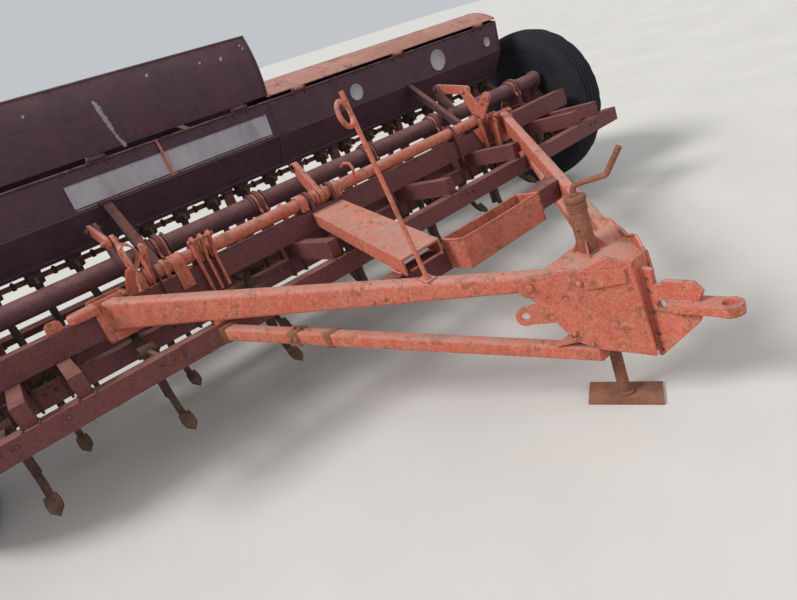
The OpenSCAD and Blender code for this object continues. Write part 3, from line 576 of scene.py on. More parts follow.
def tine(shape, x, barY):
    face, z = barY + tineLook["barHalf"], tineLook["barZ"]
    eye = barY + tineLook["reach"]
    shape.block((x - 30, face, z - 34), (x + 30, face + 9, z + 34))
    for dx in (-20, 20):
        shape.bolt((x + dx, barY - tineLook["barHalf"], z + 12), forward, 8)
        for dz in (-24, 24):
            shape.bolt((x + dx, face + 9, z + dz), backward, 8, 7)
    arm = [(face + 6, z - 24), (eye - 30, z - 15), (eye - 30, z + 15), (face + 6, z + 24)]
    shape.plate(arm, x - 8, x + 8)
    shape.coil((x, eye, z), sideways, tineLook["coilR"], *tineLook["coil"])
    shape.rod((x - 36, eye, z), (x + 36, eye, z), 24, 16)
    for side in (-1, 1):
        shape.bolt((x + side * 35, eye, z), (side, 0, 0), 13, 3)
    cy, cz = barY + tineLook["centre"][0], tineLook["centre"][1]
    half = tineLook["wide"] / 2
    rings = []
    for k in range(15):
        turn = radians(66 - 142 * k / 14)
        mid = Vector((cy + tineLook["reachY"] * cos(turn), cz + tineLook["reachZ"] * sin(turn)))
        out = Vector((cos(turn), sin(turn))) * tineLook["thick"] / 2
        inner, outer = mid - out, mid + out
        rings.append([(x - half, *inner), (x + half, *inner), (x + half, *outer), (x - half, *outer)])
    shape.loft(rings)
    footY, footZ = rings[-1][0][1:]
    rings = []
    for dy, dz, w in tineLook["point"]:
        y, z = footY + dy, footZ + dz
        rings.append([
            (x - w, y + 3, z), (x, y - 5, z - 3), (x + w, y + 3, z),
            (x + w * 0.9, y - 1, z + 6), (x, y - 1, z + 5), (x - w * 0.9, y - 1, z + 6),
        ])
    shape.loft(rings)
    shape.bolt((x, footY + 6, footZ + 18), (0, -0.7, 0.7), 9)


for row, (rank, barY) in enumerate(zip(("front", "middle", "rear"), tineLook["barY"])):
    tines = Shape()
    for x in rowXs[row::3]:
        tine(tines, x, barY)
    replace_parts(tines.piece("sprung_tines_" + rank, "dark_steel"), "tines_" + rank)
print("tines ready")

# Places on the hopper's panel, on the slope below it and on the outer face of a head cheek

panelDown, slopeDown = (0, 0.13, -0.9915), (0, 0.6147, -0.7889)
panelOut, slopeOut = ((0, down[2], -down[1]) for down in (panelDown, slopeDown))
cheekCos, cheekSin = 0.7728, 0.6346
supportXs = (356, 868, 1602)


def onFace(top, down, x, drop, out):
    return Vector((x, top[0] + down[1] * drop + down[2] * out, top[1] + down[2] * drop - down[1] * out))


def panel(x, drop, out=0.0):
    return onFace((857, 1177), panelDown, x, drop, out)


def slope(x, drop, out=0.0):
    return onFace((881, 994), slopeDown, x, drop, out)


def cheek(side, s, z, out=0.0):
    x = 252.8 - cheekSin * s + cheekCos * (10 + out)
    return Vector((side * x, -729 - cheekCos * s - cheekSin * (10 + out), z))


def roundRect(x, low, high, half, r, steps=4):
    right, left, top, foot = half - r, r - half, high - r, low + r
    points = []
    for cx, cz, first in ((right, top, 0), (left, top, 90), (left, foot, 180), (right, foot, 270)):
        for k in range(steps + 1):
            turn = radians(first + 90 * k / steps)
            points.append((x + cx + r * cos(turn), cz + r * sin(turn)))
    return points


def boxRing(x, y, low, high, half, r):
    return [(px, y, pz) for px, pz in roundRect(x, low, high, half, r)]


# Drawbar legs and braces with rolled corners, their flanges, bolts and welds

legLook = {
    # Half spread, top and depth at the beam and at the head
    "root": (1198, 670, 120), "tip": (68, 280, 50), "rootY": 463, "run": 1376, "half": 32.35, "corner": 14,
    "flange": (1180, 505, 678, 75, 16), "flangeY": (451, 563), "thick": 12,
    "boltX": (1121, 1239), "boltZ": (519, 661),
}
braceLook = {"back": (926, 112, 415), "front": (111.96, -870, -6), "half": 25, "corner": 9}


def legAt(y):
    t = (legLook["rootY"] - y) / legLook["run"]
    x, top, depth = (root + (tip - root) * t for root, tip in zip(legLook["root"], legLook["tip"]))
    return x, top - depth, top


for side, name in namedSides:
    leg = Shape()
    rings = []
    for k in range(29):
        y = legLook["rootY"] - legLook["run"] + legLook["run"] * k / 28
        x, low, high = legAt(y)
        dent = rng.uniform(-0.8, 0.8)
        rings.append(boxRing(side * x + dent, y, low, high, legLook["half"], legLook["corner"]))
    leg.loft(rings)
    outline = [(side * x, z) for x, z in roundRect(*legLook["flange"])]
    frontY, backY = legLook["flangeY"]
    for y in (frontY, backY):
        leg.plate(outline, y, y + legLook["thick"], "y", 2)
    backY += legLook["thick"]
    for x in legLook["boltX"]:
        for z in legLook["boltZ"]:
            leg.bolt((side * x, frontY, z), forward, 15, 8)
            leg.bolt((side * x, backY, z), backward, 15, 10)
            leg.rod((side * x, frontY + 1, z), (side * x, backY - 1, z), 16, 12)
    x, low, high = legAt(frontY)
    for dx in (-34, 34):
        leg.weld((side * (x + dx), frontY - 2, low + 8), (side * (x + dx), frontY - 2, high - 4), 8)
    leg.weld((side * (x - 30), frontY - 2, low), (side * (x + 30), frontY - 2, low), 9)
    x, low, high = legAt(112)
    leg.block((side * x - 35, 112, 453), (side * x + 35, 188, low + 12), 3)
    for y, z in ((-352, 18), (-384, 30)):
        x, low, high = legAt(y)
        leg.bolt((side * (x + 33), y, low + z), (side * cheekCos, -cheekSin, 0), 9)
    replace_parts(leg.piece("rolled_leg_" + name, "drawbar_paint"), "drawbar_leg_" + name)
    brace = Shape()
    back, front = (Vector((side * x, y, z)) for x, y, z in (braceLook["back"], braceLook["front"]))
    rings = []
    for k in range(25):
        p, half = back.lerp(front, k / 24), braceLook["half"]
        x = p.x + rng.uniform(-0.7, 0.7)
        rings.append(boxRing(x, p.y, p.z - half, p.z + half, half, braceLook["corner"]))
    brace.loft(rings)
    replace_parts(brace.piece("rolled_brace_" + name, "drawbar_paint"), "lower_brace_" + name)
    joint = Shape()
    for low, high, grow in ((0.2, 0.225, 6), (0.3, 0.318, 5), (0.0, 0.016, 8)):
        rings = []
        for t in (low, low + 0.002, high - 0.002, high):
            p, half = back.lerp(front, t), braceLook["half"] + grow - (2.5 if t in (low, high) else 0)
            rings.append(boxRing(p.x, p.y, p.z - half, p.z + half, half, braceLook["corner"]))
        joint.loft(rings)
    for t in (0.205, 0.221):
        p = back.lerp(front, t)
        joint.bolt((p.x + side * 30, p.y, p.z), (side * 0.77, -0.63, 0), 10, 6)
        joint.bolt((p.x, p.y, p.z + 31), (0, 0.2, 1), 9, 6)
    for z in (392, 438):
        joint.weld((side * 900, 110, z), (side * 955, 110, z), 9)
    joint.piece("brace_clamps_" + name, "rusty_steel")
print("drawbar ready")

# Head: pads, bolts, holes, a bead down the front corner, welds and the rims of the tongue's eye

headLook = {
    "pad": [(190, 303), (189, 240), (312, 230), (314, 276)],
    "bolts": [(27, 290, 17), (176, 264, 11), (124, 98, 10), (169, 47, 8)],
    "holes": [(73, 240), (124, 229), (174, 214), (122, 93)],
    "corner": [(330, 284), (334, 240), (337, 160), (341, 80), (346, -40)], "cornerD": [14, 18, 18, 18, 14],
    "seams": [
        ((24, 324), (196, 307)), ((204, 307), (272, 326)), ((310, -28), (190, 22)), ((188, 24), (122, 70)),
    ],
    "scratch": [(115, 253), (168, 196), (222, 140), (268, 91)],
    "noseHoles": (-36, 23, 101, 172, 215), "eyeY": -1235, "eyeR": 22, "tongueR": 35,
}
head = Shape()
marks = Shape()
for side in (-1, 1):
    out = (side * cheekCos, -cheekSin, 0)
    rings = [[cheek(side, s, z, lift) for s, z in headLook["pad"]] for lift in (-1, 5)]
    rings.append([cheek(side, s * 0.985 + 3.8, z * 0.985 + 4, 7) for s, z in headLook["pad"]])
    head.loft(rings)
    for s, z, size in headLook["bolts"]:
        head.bolt(cheek(side, s, z), out, size, 5)
    for s, z in headLook["holes"]:
        head.lathe([(13, -0.5), (12.5, 1.2), (8, 1.3), (7, 0)], cheek(side, s, z), out, 16)
    head.tube([cheek(side, s, z, -3) for s, z in headLook["corner"]], headLook["cornerD"], 12)
    for start, end in headLook["seams"]:
        head.weld(cheek(side, *start, -12), cheek(side, *end, -12), 9)
    marks.tube([cheek(side, s, z, 0.3) for s, z in headLook["scratch"]], 2.2, 6)
    for z in headLook["noseHoles"]:
        head.hoop((side * 9.5, -1008, z), sideways, 8, 3, 12)
    head.weld((side * 11, -995, -34), (side * 11, -995, 250), 9)
    for z in (146, 114):
        head.weld((side * 11, -1060, z), (side * 11, -1140, z), 8)
    head.hoop((side * 9.5, -1043, 127), sideways, 19, 4)
for z in (115, 145):
    head.hoop((0, headLook["eyeY"], z), upward, headLook["eyeR"], 6, sides=8)
    turns = [polar(headLook["eyeY"], 0, headLook["tongueR"], 90 + 15 * k) for k in range(13)]
    head.tube([(x, y, z) for y, x in turns], 5, 8)
head.piece("head_fittings", "drawbar_paint")
marks.piece("head_scratches", "sign_sheet")
print("head ready")

# Jack: threaded neck with its cap and pin, a bolt, a foot weld and gussets

jackLook = {"y": -820, "threads": (454, 462, 470, 478, 486), "gussets": (35, 145, 215, 325)}
jack = Shape()
jackY = jackLook["y"]
for z in jackLook["threads"]:
    jack.hoop((0, jackY, z), upward, 31, 5)
jack.lathe([(33, -5), (36, -3), (36, 7), (33, 11), (20, 13)], (0, jackY, 488), upward, 28)
jack.lathe([(14, 0), (14, 9), (11, 12)], (0, jackY, 497), upward, 20)
jack.rod((-18, jackY, 507), (18, jackY, 507), 6, 10)
jack.bolt((-30, jackY - 4, 396), (-1, -0.1, 0), 6, 6)
jack.hoop((0, jackY, 309), upward, 32, 8, wobble=0.15)
jack.piece("jack_neck", "rusty_steel")
gussets = Shape()
for turn in jackLook["gussets"]:
    out = Vector((*polar(0, 0, 1, turn), 0))
    across = Vector((-out.y, out.x, 0)) * 3
    foot = Vector((0, jackY, 300))
    steps = ((28, 0), (66, 0), (60, 12), (28, 56))
    outline = [foot + out * reach + Vector((0, 0, rise)) for reach, rise in steps]
    gussets.loft([[p - across for p in outline], [p + across for p in outline]])
gussets.piece("jack_gussets", "drawbar_paint")
print("jack ready")

# Hopper: rolled rims, folded seams, rivets, end flanges, braces and rust flakes

hopperLook = {
    "half": 1798, "flakes": 70, "rivetPitch": 98, "braceXs": (-940, 940), "tieXs": (450, 900, 1350),
    "outline": [(857, 1177), (881, 994), (1001, 840), (1075, 840), (1157, 994), (1133, 1278)],
    "endRivets": ((881, 1120), (893, 1020), (938, 940), (993, 870), (1128, 930), (1158, 1080), (1150, 1200)),
}
half = hopperLook["half"]
hopper = Shape()
rim = [
    panel(-half + k * 2 * half / 72, 5 + rng.uniform(-1, 1), 1.5 + rng.uniform(-0.8, 0.8))
    for k in range(73)
]
hopper.tube(rim, 10, 8)
hopper.tube([(-half, 1131, 1270), (0, 1131.5, 1270), (half, 1131, 1270)], 11, 8)
hopper.tube([(-half, 881, 995), (half, 881, 995)], 8, 8)
hopper.strip([panel(-half, 171, 1.5), panel(half, 171, 1.5)], 20, 3, panelDown)
hopper.strip([slope(-half, 184, 1.5), slope(half, 184, 1.5)], 22, 4, slopeDown)
for x in range(-1760, 1770, hopperLook["rivetPitch"]):
    hopper.rivet(panel(x, 171, 3), panelOut, 4.5)
    hopper.rivet(slope(x + 40, 184, 3.5), slopeOut, 5)
# The cover strip over the joint at mid length
hopper.strip([panel(8, 8, 1.5), panel(8, 180, 1.5)], 46, 3)
hopper.strip([slope(8, 4, 1.5), slope(8, 174, 1.5)], 46, 3)
for drop in (30, 66, 102, 138):
    for x in (-6, 22):
        hopper.rivet(panel(x, drop, 3), panelOut, 5.5)
        hopper.rivet(slope(x, drop, 3), slopeOut, 5)
for side in (-1, 1):
    loop = [(side * 1796, y, z) for y, z in hopperLook["outline"]]
    hopper.strip(loop, 15, 4)
    hopper.strip([loop[-1], loop[0]], 15, 4)
    for y, z in hopperLook["endRivets"]:
        hopper.rivet((side * 1800, y, z), (side, 0, 0), 6)
    for x in supportXs:
        hopper.block((side * x - 26, 1001, 826), (side * x + 26, 1075, 840), 3)
        for y in (1012, 1064):
            hopper.bolt((side * x, y, 826), downward, 9)
for x in hopperLook["braceXs"]:
    hopper.strip([(x, 530, 640), (x, 900, 978)], 46, 5)
    hopper.strip([(x - 21, 522, 650), (x - 21, 885, 982)], 34, 5, (0, -0.68, 0.74))
    hopper.block((x - 36, 478, 633), (x + 36, 545, 641))
    for dx in (-24, 24):
        hopper.bolt((x + dx, 512, 641), upward, 10, 5)
    hopper.strip([panel(x, 168, 4), slope(x, 34, 4)], 78, 6)
    for dx in (-28, 28):
        hopper.bolt(panel(x + dx, 178, 6), panelOut, 9, 4)
for x in bothSides(hopperLook["tieXs"]):
    hopper.strip([(x, 864, 1168), (x, 1129, 1262)], 30, 4)
hopper.piece("hopper_trim", "hopper_paint")
flakes = Shape()
for k in range(hopperLook["flakes"]):
    x, long, deep = rng.uniform(-1780, 1780), rng.uniform(8, 34), rng.uniform(4, 15)
    steps = ((-1, 4, 6.5), (-0.3, 5, 8), (0.4, 6, 8), (1, 4, 6.5))
    points = [panel(x + long * way, drop, out) for way, drop, out in steps]
    flakes.strip(points, [1, deep, deep * rng.uniform(0.3, 1.4), 1], 1.2, panelDown)
flakes.piece("rim_flakes", "dark_steel")
# The strap wears the drawbar's bright salmon paint: partly its rusty orange, partly a painted highlight
# along it
strap = Shape()
strap.strip([panel(-625, 3, 7), panel(-622, 40, 10), panel(-620, 110, 6.5), panel(-615, 176, 5)], 13, 3)
strap.bolt(panel(-625, 10, 8), panelOut, 5)
strap.piece("sign_strap", "drawbar_paint")
print("hopper ready")

# Sign and badge rims, left blank

signLook = {
    "ends": (-1072, -50), "drops": (62, 170), "rivets": 8, "fold": -600,
    "badges": ((541, 114, 45), (1210, 105, 62.5), (1680, 106, 30)),
}
(x0, x1), (top, foot) = signLook["ends"], signLook["drops"]
sign = Shape()
corners = [(x0, top), (x1, top), (x1, foot), (x0, foot)]
sign.tube([panel(x, drop, 3) for x, drop in corners], 4, 6, closed=True)
for k in range(signLook["rivets"]):
    x = x0 + 14 + k * (x1 - x0 - 28) / (signLook["rivets"] - 1)
    for drop in (top + 9, foot - 9):
        sign.rivet(panel(x, drop, 3), panelOut, 4)
sign.strip([panel(signLook["fold"], 64, 3.8), panel(signLook["fold"], 168, 3.8)], 5, 1.6)
for x, drop, r in signLook["badges"]:
    ring = [(r, 2), (r, 5), (r - 3, 6.5), (r - 6, 5), (r - 8, 3.5), (2, 3.2)]
    sign.lathe(ring, panel(x, drop), panelOut, 36)
    for dx in (r - 12, 12 - r):
        sign.rivet(panel(x + dx, drop, 3), panelOut, 3)
sign.piece("sign_rims", "sign_sheet")

# Lids: folded ends and free edge, stiffeners inside, a pale drip and spots on the open one

lidLook = {
    "hinge": (848, 1185), "arcR": 423.3, "arcMiddle": 153, "arcSink": 392.3, "openTurn": 91,
    "drip": [(-805, 212, 10), (-799, 162, 14), (-790, 112, 11), (-778, 48, 8), (-761, 9, 10)],
    "spots": [
        (-1078, 233, 6), (-540, 255, 7), (-284, 242, 6), (-177, 233, 8), (-172, 240, 5),
        (-44, 252, 6), (-53, 269, 6),
    ],
}


# A place on a lid's arc: its turn, x, the way from the hinge and the height over the sheet
def lidPoint(turn, x, a, out=0.0):
    b = sqrt(lidLook["arcR"] ** 2 - (a - lidLook["arcMiddle"]) ** 2) - lidLook["arcSink"] + out
    c, s = polar(0, 0, 1, turn)
    y, z = lidLook["hinge"]
    return Vector((x, y + a * c - b * s, z + a * s + b * c))


lids = (("right", lidLook["openTurn"], -1804, -8, "hopper_paint"), ("left", 20, 8, 1804, "faded_paint"))
for name, turn, x0, x1, look in lids:
    lid = Shape()
    wide = x1 - x0
    edge = [lidPoint(turn, x0 + wide * k / 30, 306 + rng.uniform(-0.6, 0.6), 0.5) for k in range(31)]
    lid.tube(edge, 9, 8)
    for x in (x0 + 6, x1 - 6):
        lid.strip([lidPoint(turn, x, a, 1) for a in range(16, 308, 18)], 11, 4)
    for k in range(1, 5):
        x = x0 + wide * k / 5
        lid.strip([lidPoint(turn, x, a, -6) for a in range(30, 300, 18)], 32, 3)
        lid.strip([lidPoint(turn, x - 15, a, -11) for a in range(30, 300, 18)], 3, 10)
    lid.piece("lid_trim_" + name, look, "lid_" + name)
drip = Shape()


def dab(x, a, size):
    r, way = lidLook["arcR"], a - lidLook["arcMiddle"]
    rise = sqrt(r ** 2 - way ** 2)
    c, s = polar(0, 0, 1, lidLook["openTurn"])
    out = (0, (way * c - rise * s) / r, (way * s + rise * c) / r)
    place = lidPoint(lidLook["openTurn"], x, a, 0.2)
    drip.lathe([(size, -0.4), (size * 0.92, 0.6), (size * 0.5, 1.1)], place, out, 9, rng.uniform(0, 1))


for (xa, aa, sizeA), (xb, ab, sizeB) in zip(lidLook["drip"], lidLook["drip"][1:]):
    for k in range(9):
        t = k / 9
        size = sizeA * (1 - t) + sizeB * t
        dab(xa + (xb - xa) * t + rng.uniform(-2, 2), aa + (ab - aa) * t, size * rng.uniform(0.6, 1.15))
for x, a, size in lidLook["spots"]:
    dab(x, a, size)
    dab(x + size, a + size, size * 0.5)
drip.piece("lid_drip", "sign_sheet", "lid_right")
print("lids and sign ready")

# Metering housings with flanges, end cheeks and tabs, collars on the feed shaft, and the chain case's bolts

meterLook = {"y": 1038, "half": 29, "shaft": (1080.8, 810), "chainX": 1770, "chainFoot": (778, 580)}
meters = Shape()
y, half = meterLook["y"], meterLook["half"]
for x in rowXs:
    meters.block((x - 36, y - 35, 833), (x + 36, y + 35, 841), 2)
    body = [(y - half, 833), (y + half, 833), (y + half, 792), (y + 16, 780), (y - 16, 780), (y - half, 800)]
    meters.plate(body, x - 25, x + 25, chamfer=2)
    for side in (-1, 1):
        meters.lathe([(27, -5), (27, 3), (24, 5), (17, 6)], (x + side * 30, y + 6, 808), (side, 0, 0), 20)
    for dx in (-28, 28):
        for dy in (-24, 24):
            meters.bolt((x + dx, y + dy, 833), downward, 7)
    meters.strip([(x, y - half, 815), (x, y - half - 18, 808), (x, y - half - 34, 788)], 16, 3)
    meters.rod((x, y, 782), (x, y, 764), 37, 14)
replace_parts(meters.piece("metering_housings", "dark_steel"), "metering_units")
collars = Shape()
feedY, feedZ = meterLook["shaft"]
footY, footZ = meterLook["chainFoot"]
chainX = meterLook["chainX"]
for x, nextX in zip(rowXs, rowXs[1:]):
    collars.collar(((x + nextX) / 2, feedY, feedZ), 15, 18, 9, 18, 5)
for y, z, r in ((feedY, feedZ, 26), (footY, footZ, 24)):
    collars.lathe([(r, 0), (r, 5), (r - 5, 8), (8, 8)], (chainX, y, z), sideways, 24)
    collars.bolt((chainX + 7, y, z), sideways, 10)
for k in range(7):
    t = (k + 0.5) / 7
    for across in (-22, 22):
        y, z = footY + (feedY - footY) * t - across * 0.605, footZ + (feedZ - footZ) * t + across * 0.796
        collars.bolt((chainX, y, z), sideways, 6)
collars.piece("feed_collars", "dark_steel")
print("metering ready")

# Straps, collars and bearings of the two lift shafts, and the brackets on the beam

shaftLook = {
    "front": (492, 678, 30), "rear": (718, 740, 45), "collars": (-352, -243, -172, -119, -1015, 1015),
    # Each strap's x, width and foot
    "straps": [
        (-1040, 20, 638), (-940, 18, 638), (-886, 54, 566), (-735, 30, 638), (-790, 22, 638),
        (-255, 40, 638), (-60, 44, 638), (980, 24, 638),
    ],
    # How far a long arm's tip is from its shaft, and at what angle
    "armR": 190, "armTurn": 67, "lugTurn": 56,
}
frontY, frontZ, frontR = shaftLook["front"]
rearY, rearZ, rearR = shaftLook["rear"]
mounts = Shape()
for x, wide, foot in shaftLook["straps"]:
    arc = [polar(frontY, frontZ, frontR + 5, turn) for turn in range(190, -20, -15)]
    path = [(459, foot), (459, 662)] + arc + [(527, 650), (531, 640), (556, 637)]
    mounts.strip([(x, y, z) for y, z in path], wide, 7)
    mounts.bolt((x, 545, 640), upward, 10, 5)
    mounts.bolt((x, 460, foot + 12), forward, 9, 5)
for x in bothSides(supportXs):
    arc = [polar(rearY, rearZ, rearR + 5, turn) for turn in range(200, -30, -15)]
    path = [(rearY - 62, 700), (rearY - 56, 706)] + arc + [(rearY + 56, 706), (rearY + 62, 700)]
    mounts.strip([(x, y, z) for y, z in path], 46, 7)
    for y in (rearY - 56, rearY + 56):
        mounts.bolt((x, y, 706), upward, 9, 5)
        mounts.block((x - 20, y - 9, 690), (x + 20, y + 9, 703))
    mounts.weld((x - 11, rearY - 60, 634), (x - 11, rearY + 60, 634), 8)

# Brackets on the beam: a lug, a wedge, plates, upright ears with a pin, and a strap bent into a loop
lug = [(-1425, 633), (-1360, 633), (-1364, 668), (-1380, 678), (-1408, 678), (-1421, 668)]
mounts.plate(lug, 480, 492, "y", 2)
mounts.lathe([(15, 0), (14, 2), (10, 2.4), (9, 0.5)], (-1392, 480, 656), forward, 18)
wedge = [(-1233, 430), (-1233, 520), (-1318, 508), (-1340, 490), (-1344, 458), (-1326, 436)]
mounts.plate(wedge, 633, 672, "z", 7)
tab = [(915, 641), (1006, 641), (990, 566), (966, 548), (950, 572)]
mounts.plate(tab, 453, 463, "y", 2)
hanger = [
    (462, 655), (462, 604), (450, 560), (457, 396), (440, 386), (416, 392), (404, 560), (398, 648),
    (420, 668),
]
mounts.plate(hanger, 1052, 1064)
mounts.bolt((1064, 430, 640), sideways, 11, 5)
ear = [
    (436, 506), (459, 499), (461, 640), (458, 688), (446, 722), (430, 752), (404, 757), (388, 740),
    (414, 700), (438, 650),
]
for x in (-808, -771, -735):
    mounts.plate(ear, x - 6, x + 6, chamfer=2)
pinEnds = [(x, 414, 737) for x in (-820, -722)]
mounts.rod(*pinEnds, 14, 14)
for end, side in zip(pinEnds, (-1, 1)):
    mounts.bolt(end, (side, 0, 0), 11)
mounts.plate(ear[:4] + [(440, 690), (437, 640)], 974, 986, chamfer=2)
mounts.strip([(-1092, 463, 638), (-1088, 438, 686), (-1076, 404, 728), (-1066, 398, 744)], 40, 7)
loop = [
    (-1060, 398, 736), (-1070, 398, 756), (-1077, 397, 794), (-1074, 394, 826), (-1058, 390, 838),
    (-1038, 387, 828), (-1023, 386, 802), (-1025, 388, 772), (-1042, 394, 746), (-1058, 397, 734),
]
mounts.strip(loop, 30, 6, (0, 1, 0.35))
mounts.bolt((-1061, 376, 841), (-0.2, -0.2, 1), 6, 3)
mounts.block((-1118, 466, 633), (-838, 560, 640), 2)
for x in (-1104, -960, -882):
    mounts.bolt((x, 552, 640), upward, 12, 6)
hook = [(60, 470, 640), (60, 462, 690), (60, 440, 730), (58, 452, 760), (56, 500, 766), (56, 530, 752)]
mounts.tube(hook, 15, 10)
mounts.piece("bearing_straps", "drawbar_paint")


# Weld rings of the long arms on one side's shaft, and the bolts at the arms' tips
def armFittings(shape, shaft, side, ringXs, wire):
    y, z, r = shaft
    for x in ringXs:
        shape.hoop((side * x, y, z), sideways, r + 3, wire, wobble=0.15)
    tip = polar(y, z, shaftLook["armR"], shaftLook["armTurn"])
    shape.bolt((side * 1038, *tip), (-side, 0, 0), 14)
    shape.bolt((side * 1086, *tip), (side, 0, 0), 12, 5)


lifts = Shape()
for x in shaftLook["collars"]:
    lifts.collar((x, frontY, frontZ), 31, 38, 9, 24, 7)
lever = (frontY - 122, frontZ + 112)
for side in (-1, 1):
    armFittings(lifts, shaftLook["front"], side, (1038, 1054), 8)
    lifts.rod((side * 984, *lever), (side * 1016, *lever), 17, 14)
    for x, out in ((1008, side), (996, -side)):
        lifts.lathe([(24, 0), (24, 4), (19, 5), (9, 5)], (side * x, *lever), (out, 0, 0), 20)
eye = polar(frontY, frontZ, shaftLook["armR"], shaftLook["lugTurn"])
for side in (-1, 1):
    lifts.lathe([(21, 0), (21, 3), (18, 4), (15, 4), (15, 0)], (-147 + side * 13, *eye), (side, 0, 0), 24)
lifts.hoop((-132, frontY, frontZ), sideways, frontR + 3, 8, wobble=0.15)
lifts.piece("front_lift_fittings", "drawbar_paint", "front_lift")
rear = Shape()
for side in (-1, 1):
    armFittings(rear, shaftLook["rear"], side, (1038, 1054, 1829), 9)
    for x in supportXs:
        for dx in (-36, 36):
            rear.collar((side * (x + dx), rearY, rearZ), 46, 55, 8, 28, 7)
    rear.lathe([(50, 0), (50, 6), (42, 12), (10, 12)], (side * 1860, rearY, rearZ), (side, 0, 0), 28)
    rear.lathe([(46, 0), (46, 10), (40, 14), (30, 14)], (side * 1860, *tyreLook["axle"]), (side, 0, 0), 28)
    rear.weld((side * 1831, rearY + 30, rearZ - 54), (side * 1831, 880, 590), 8)
rear.piece("rear_lift_fittings", "shaft_paint", "rear_lift")
print("lift ready")

# Front splice with its bolts, U-bolts and welds of the frame rails, and the footboard's tread

frameLook = {
    "spliceXs": (-1097, -914), "boltXs": (-1660, -1500, -1290, -780, -640),
    "rails": (*supportXs, 1424), "welds": ((114, 186), (564, 636), (1014, 1086)), "tied": (600, 1050),
    "treads": 13, "treadYs": (1268, 1432),
}
splice = Shape()
x0, x1 = frameLook["spliceXs"]
splice.block((x0, 108, 399), (x1, 113, 456), 2)
splice.tube([(x0, 108, 400), (x1, 108, 400), (x1, 108, 455), (x0, 108, 455)], 5, 6, closed=True)
for x in frameLook["boltXs"]:
    splice.bolt((x, 112, 426 + rng.uniform(-6, 6)), forward, 8)
splice.piece("front_splice", "frame_paint")
ties = Shape()
for x in bothSides(frameLook["rails"]):
    for dx in (-27, 27):
        for y0, y1 in frameLook["welds"]:
            ties.weld((x + dx, y0, 454), (x + dx, y1, 454), 8)
    for y in frameLook["tied"]:
        for dx in (-33, 33):
            for dy in (-44, 44):
                ties.rod((x + dx, y + dy, 369), (x + dx, y + dy, 549), 11, 8)
                ties.bolt((x + dx, y + dy, 541), upward, 9)
            ties.rod((x + dx, y - 46, 372), (x + dx, y + 46, 372), 11, 8)
        ties.block((x - 42, y - 54, 533), (x + 42, y + 54, 541))
ties.piece("rail_ties", "dark_steel")
board = Shape()
y0, y1 = frameLook["treadYs"]
for k in range(frameLook["treads"]):
    y = y0 + k * (y1 - y0) / (frameLook["treads"] - 1)
    board.tube([(-1776, y, 590), (1776, y, 590)], 4, 6)
for x in bothSides(supportXs):
    for y in (1290, 1400):
        board.bolt((x, y, 590), upward, 9)
    board.block((x - 26, 1270, 552), (x + 26, 1420, 560))
    board.weld((x - 8, 1112, 460), (x - 8, 1112, 550), 8)
for y in (1264, 1436):
    board.tube([(-1779, y, 586), (1779, y, 586)], 8, 8)
board.piece("footboard_treads", "frame_paint")

# Toolbox rim and welds, strut welds, rivets round the hose holder's foot, and dark discs of painted shade in
# the cross member's holes

smallLook = {
    "boxX": (-229, 195), "boxY": (-511, -402), "boxTop": 464, "sag": 2.5,
    "holder": (-413.754, -492, 399.32435), "holes": (-330, -285, 255, 300),
}
small = Shape()
(x0, x1), (y0, y1) = smallLook["boxX"], smallLook["boxY"]
corners = [(x0, y0), (x1, y0), (x1, y1), (x0, y1)]
rim = []
for a, b in zip(corners, corners[1:] + corners[:1]):
    for k in range(6):
        t = k / 6
        x, y = a[0] + (b[0] - a[0]) * t, a[1] + (b[1] - a[1]) * t + rng.uniform(-1, 1)
        rim.append((x, y, smallLook["boxTop"] - smallLook["sag"] * sin(pi * t)))
small.tube(rim, 8, 8, closed=True)
for x in (x0, x1):
    small.weld((x, y0, 353), (x, y0, 460), 6)
small.weld((-420, -428, 432), (-270, -428, 432), 8)
small.weld((-437, -392, 428), (-437, -340, 444), 8)
footX, footY, footZ = smallLook["holder"]
for k in range(8):
    y, x = polar(footY, footX, 10, 45 * k)
    small.rivet((x, y, footZ + 6), upward, 5)
small.piece("drawbar_trim", "drawbar_paint")
# Thin dark discs stand in for the cross member's holes: painted shade in the openings
holes = Shape()
for x in smallLook["holes"]:
    holes.lathe([(10, 0), (10, 0.8), (2, 0.8)], (x, -350, 426), upward, 16)
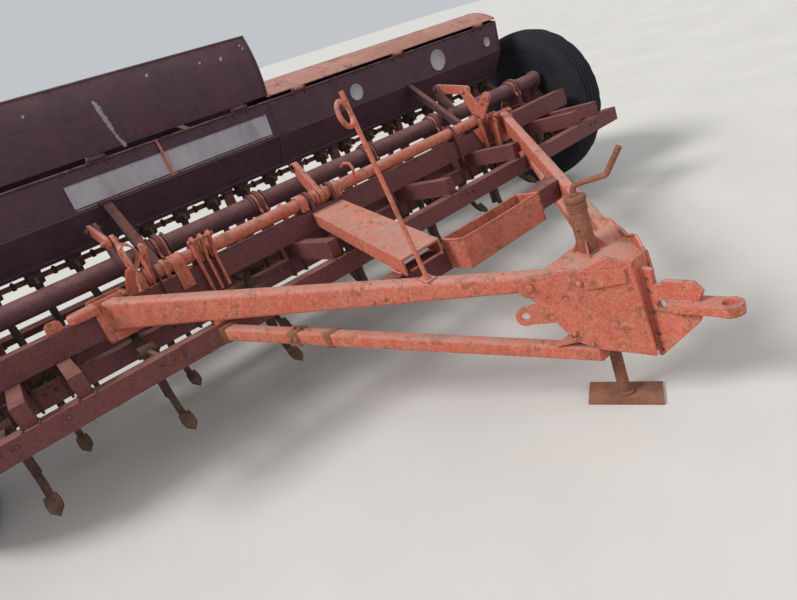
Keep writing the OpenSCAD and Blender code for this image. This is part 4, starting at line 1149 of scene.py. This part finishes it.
holes.piece("member_hole_shades", "dark_steel")
print("small fittings ready")

# Ground, light and camera

groundLook = {"halfSize": 60.0, "shade": (214, 210, 204), "patches": (206, 202, 196)}
floorMesh = bpy.data.meshes.new("floor")
half = groundLook["halfSize"]
corners = [(-half, -half, 0), (half, -half, 0), (half, half, 0), (-half, half, 0)]
floorMesh.from_pydata(corners, [], [(0, 1, 2, 3)])
ground = Finish("floor")
shade = ground.mix(ground.span(ground.noise(1.2, 4), 0.3, 0.7), groundLook["shade"], groundLook["patches"])
floorMesh.materials.append(ground.coat(shade, 0.95))
floor = placed("floor", floorMesh)

lightLook = {
    "sky": 0.58, "skyColour": (0.93, 0.96, 1.0, 1),
    "key": (2.4, 18, (-0.8, 0.28, 0.72)), "fill": (0.5, 60, (0.3, -0.8, 0.55)),
}
world = bpy.data.worlds.new("studio")
bpy.context.scene.world = world
world.use_nodes = True
background = world.node_tree.nodes["Background"]
background.inputs[0].default_value = lightLook["skyColour"]
background.inputs[1].default_value = lightLook["sky"]
for name in ("key", "fill"):
    strength, spread, source = lightLook[name]
    lamp = bpy.data.lights.new(name, "SUN")
    lamp.energy = strength
    lamp.angle = radians(spread)
    placed(name, lamp).rotation_euler = Vector(source).to_track_quat("Z", "Y").to_euler()

cameraLook = {
    "place": (-1467.5, -1976.2, 985.6),
    "right": (0.7296654, -0.58964782, -0.34627135),
    "up": (0.46839851, 0.06205927, 0.88133506),
    "back": (-0.49818795, -0.80527268, 0.32147267),
    "lens": 572.28 / 797 * 36,
}
camera = placed("camera", bpy.data.cameras.new("camera"))
axes = Matrix((cameraLook["right"], cameraLook["up"], cameraLook["back"])).transposed().to_4x4()
place = Matrix.Translation(parked @ Vector(cameraLook["place"]))
camera.matrix_world = place @ Matrix.Rotation(-noseUp, 4, "X") @ axes
camera.data.sensor_width = 36
camera.data.lens = cameraLook["lens"]
camera.data.clip_start = 0.05
camera.data.clip_end = 300
bpy.context.scene.camera = camera
bpy.context.scene.view_settings.view_transform = "Standard"
print("light and camera ready")
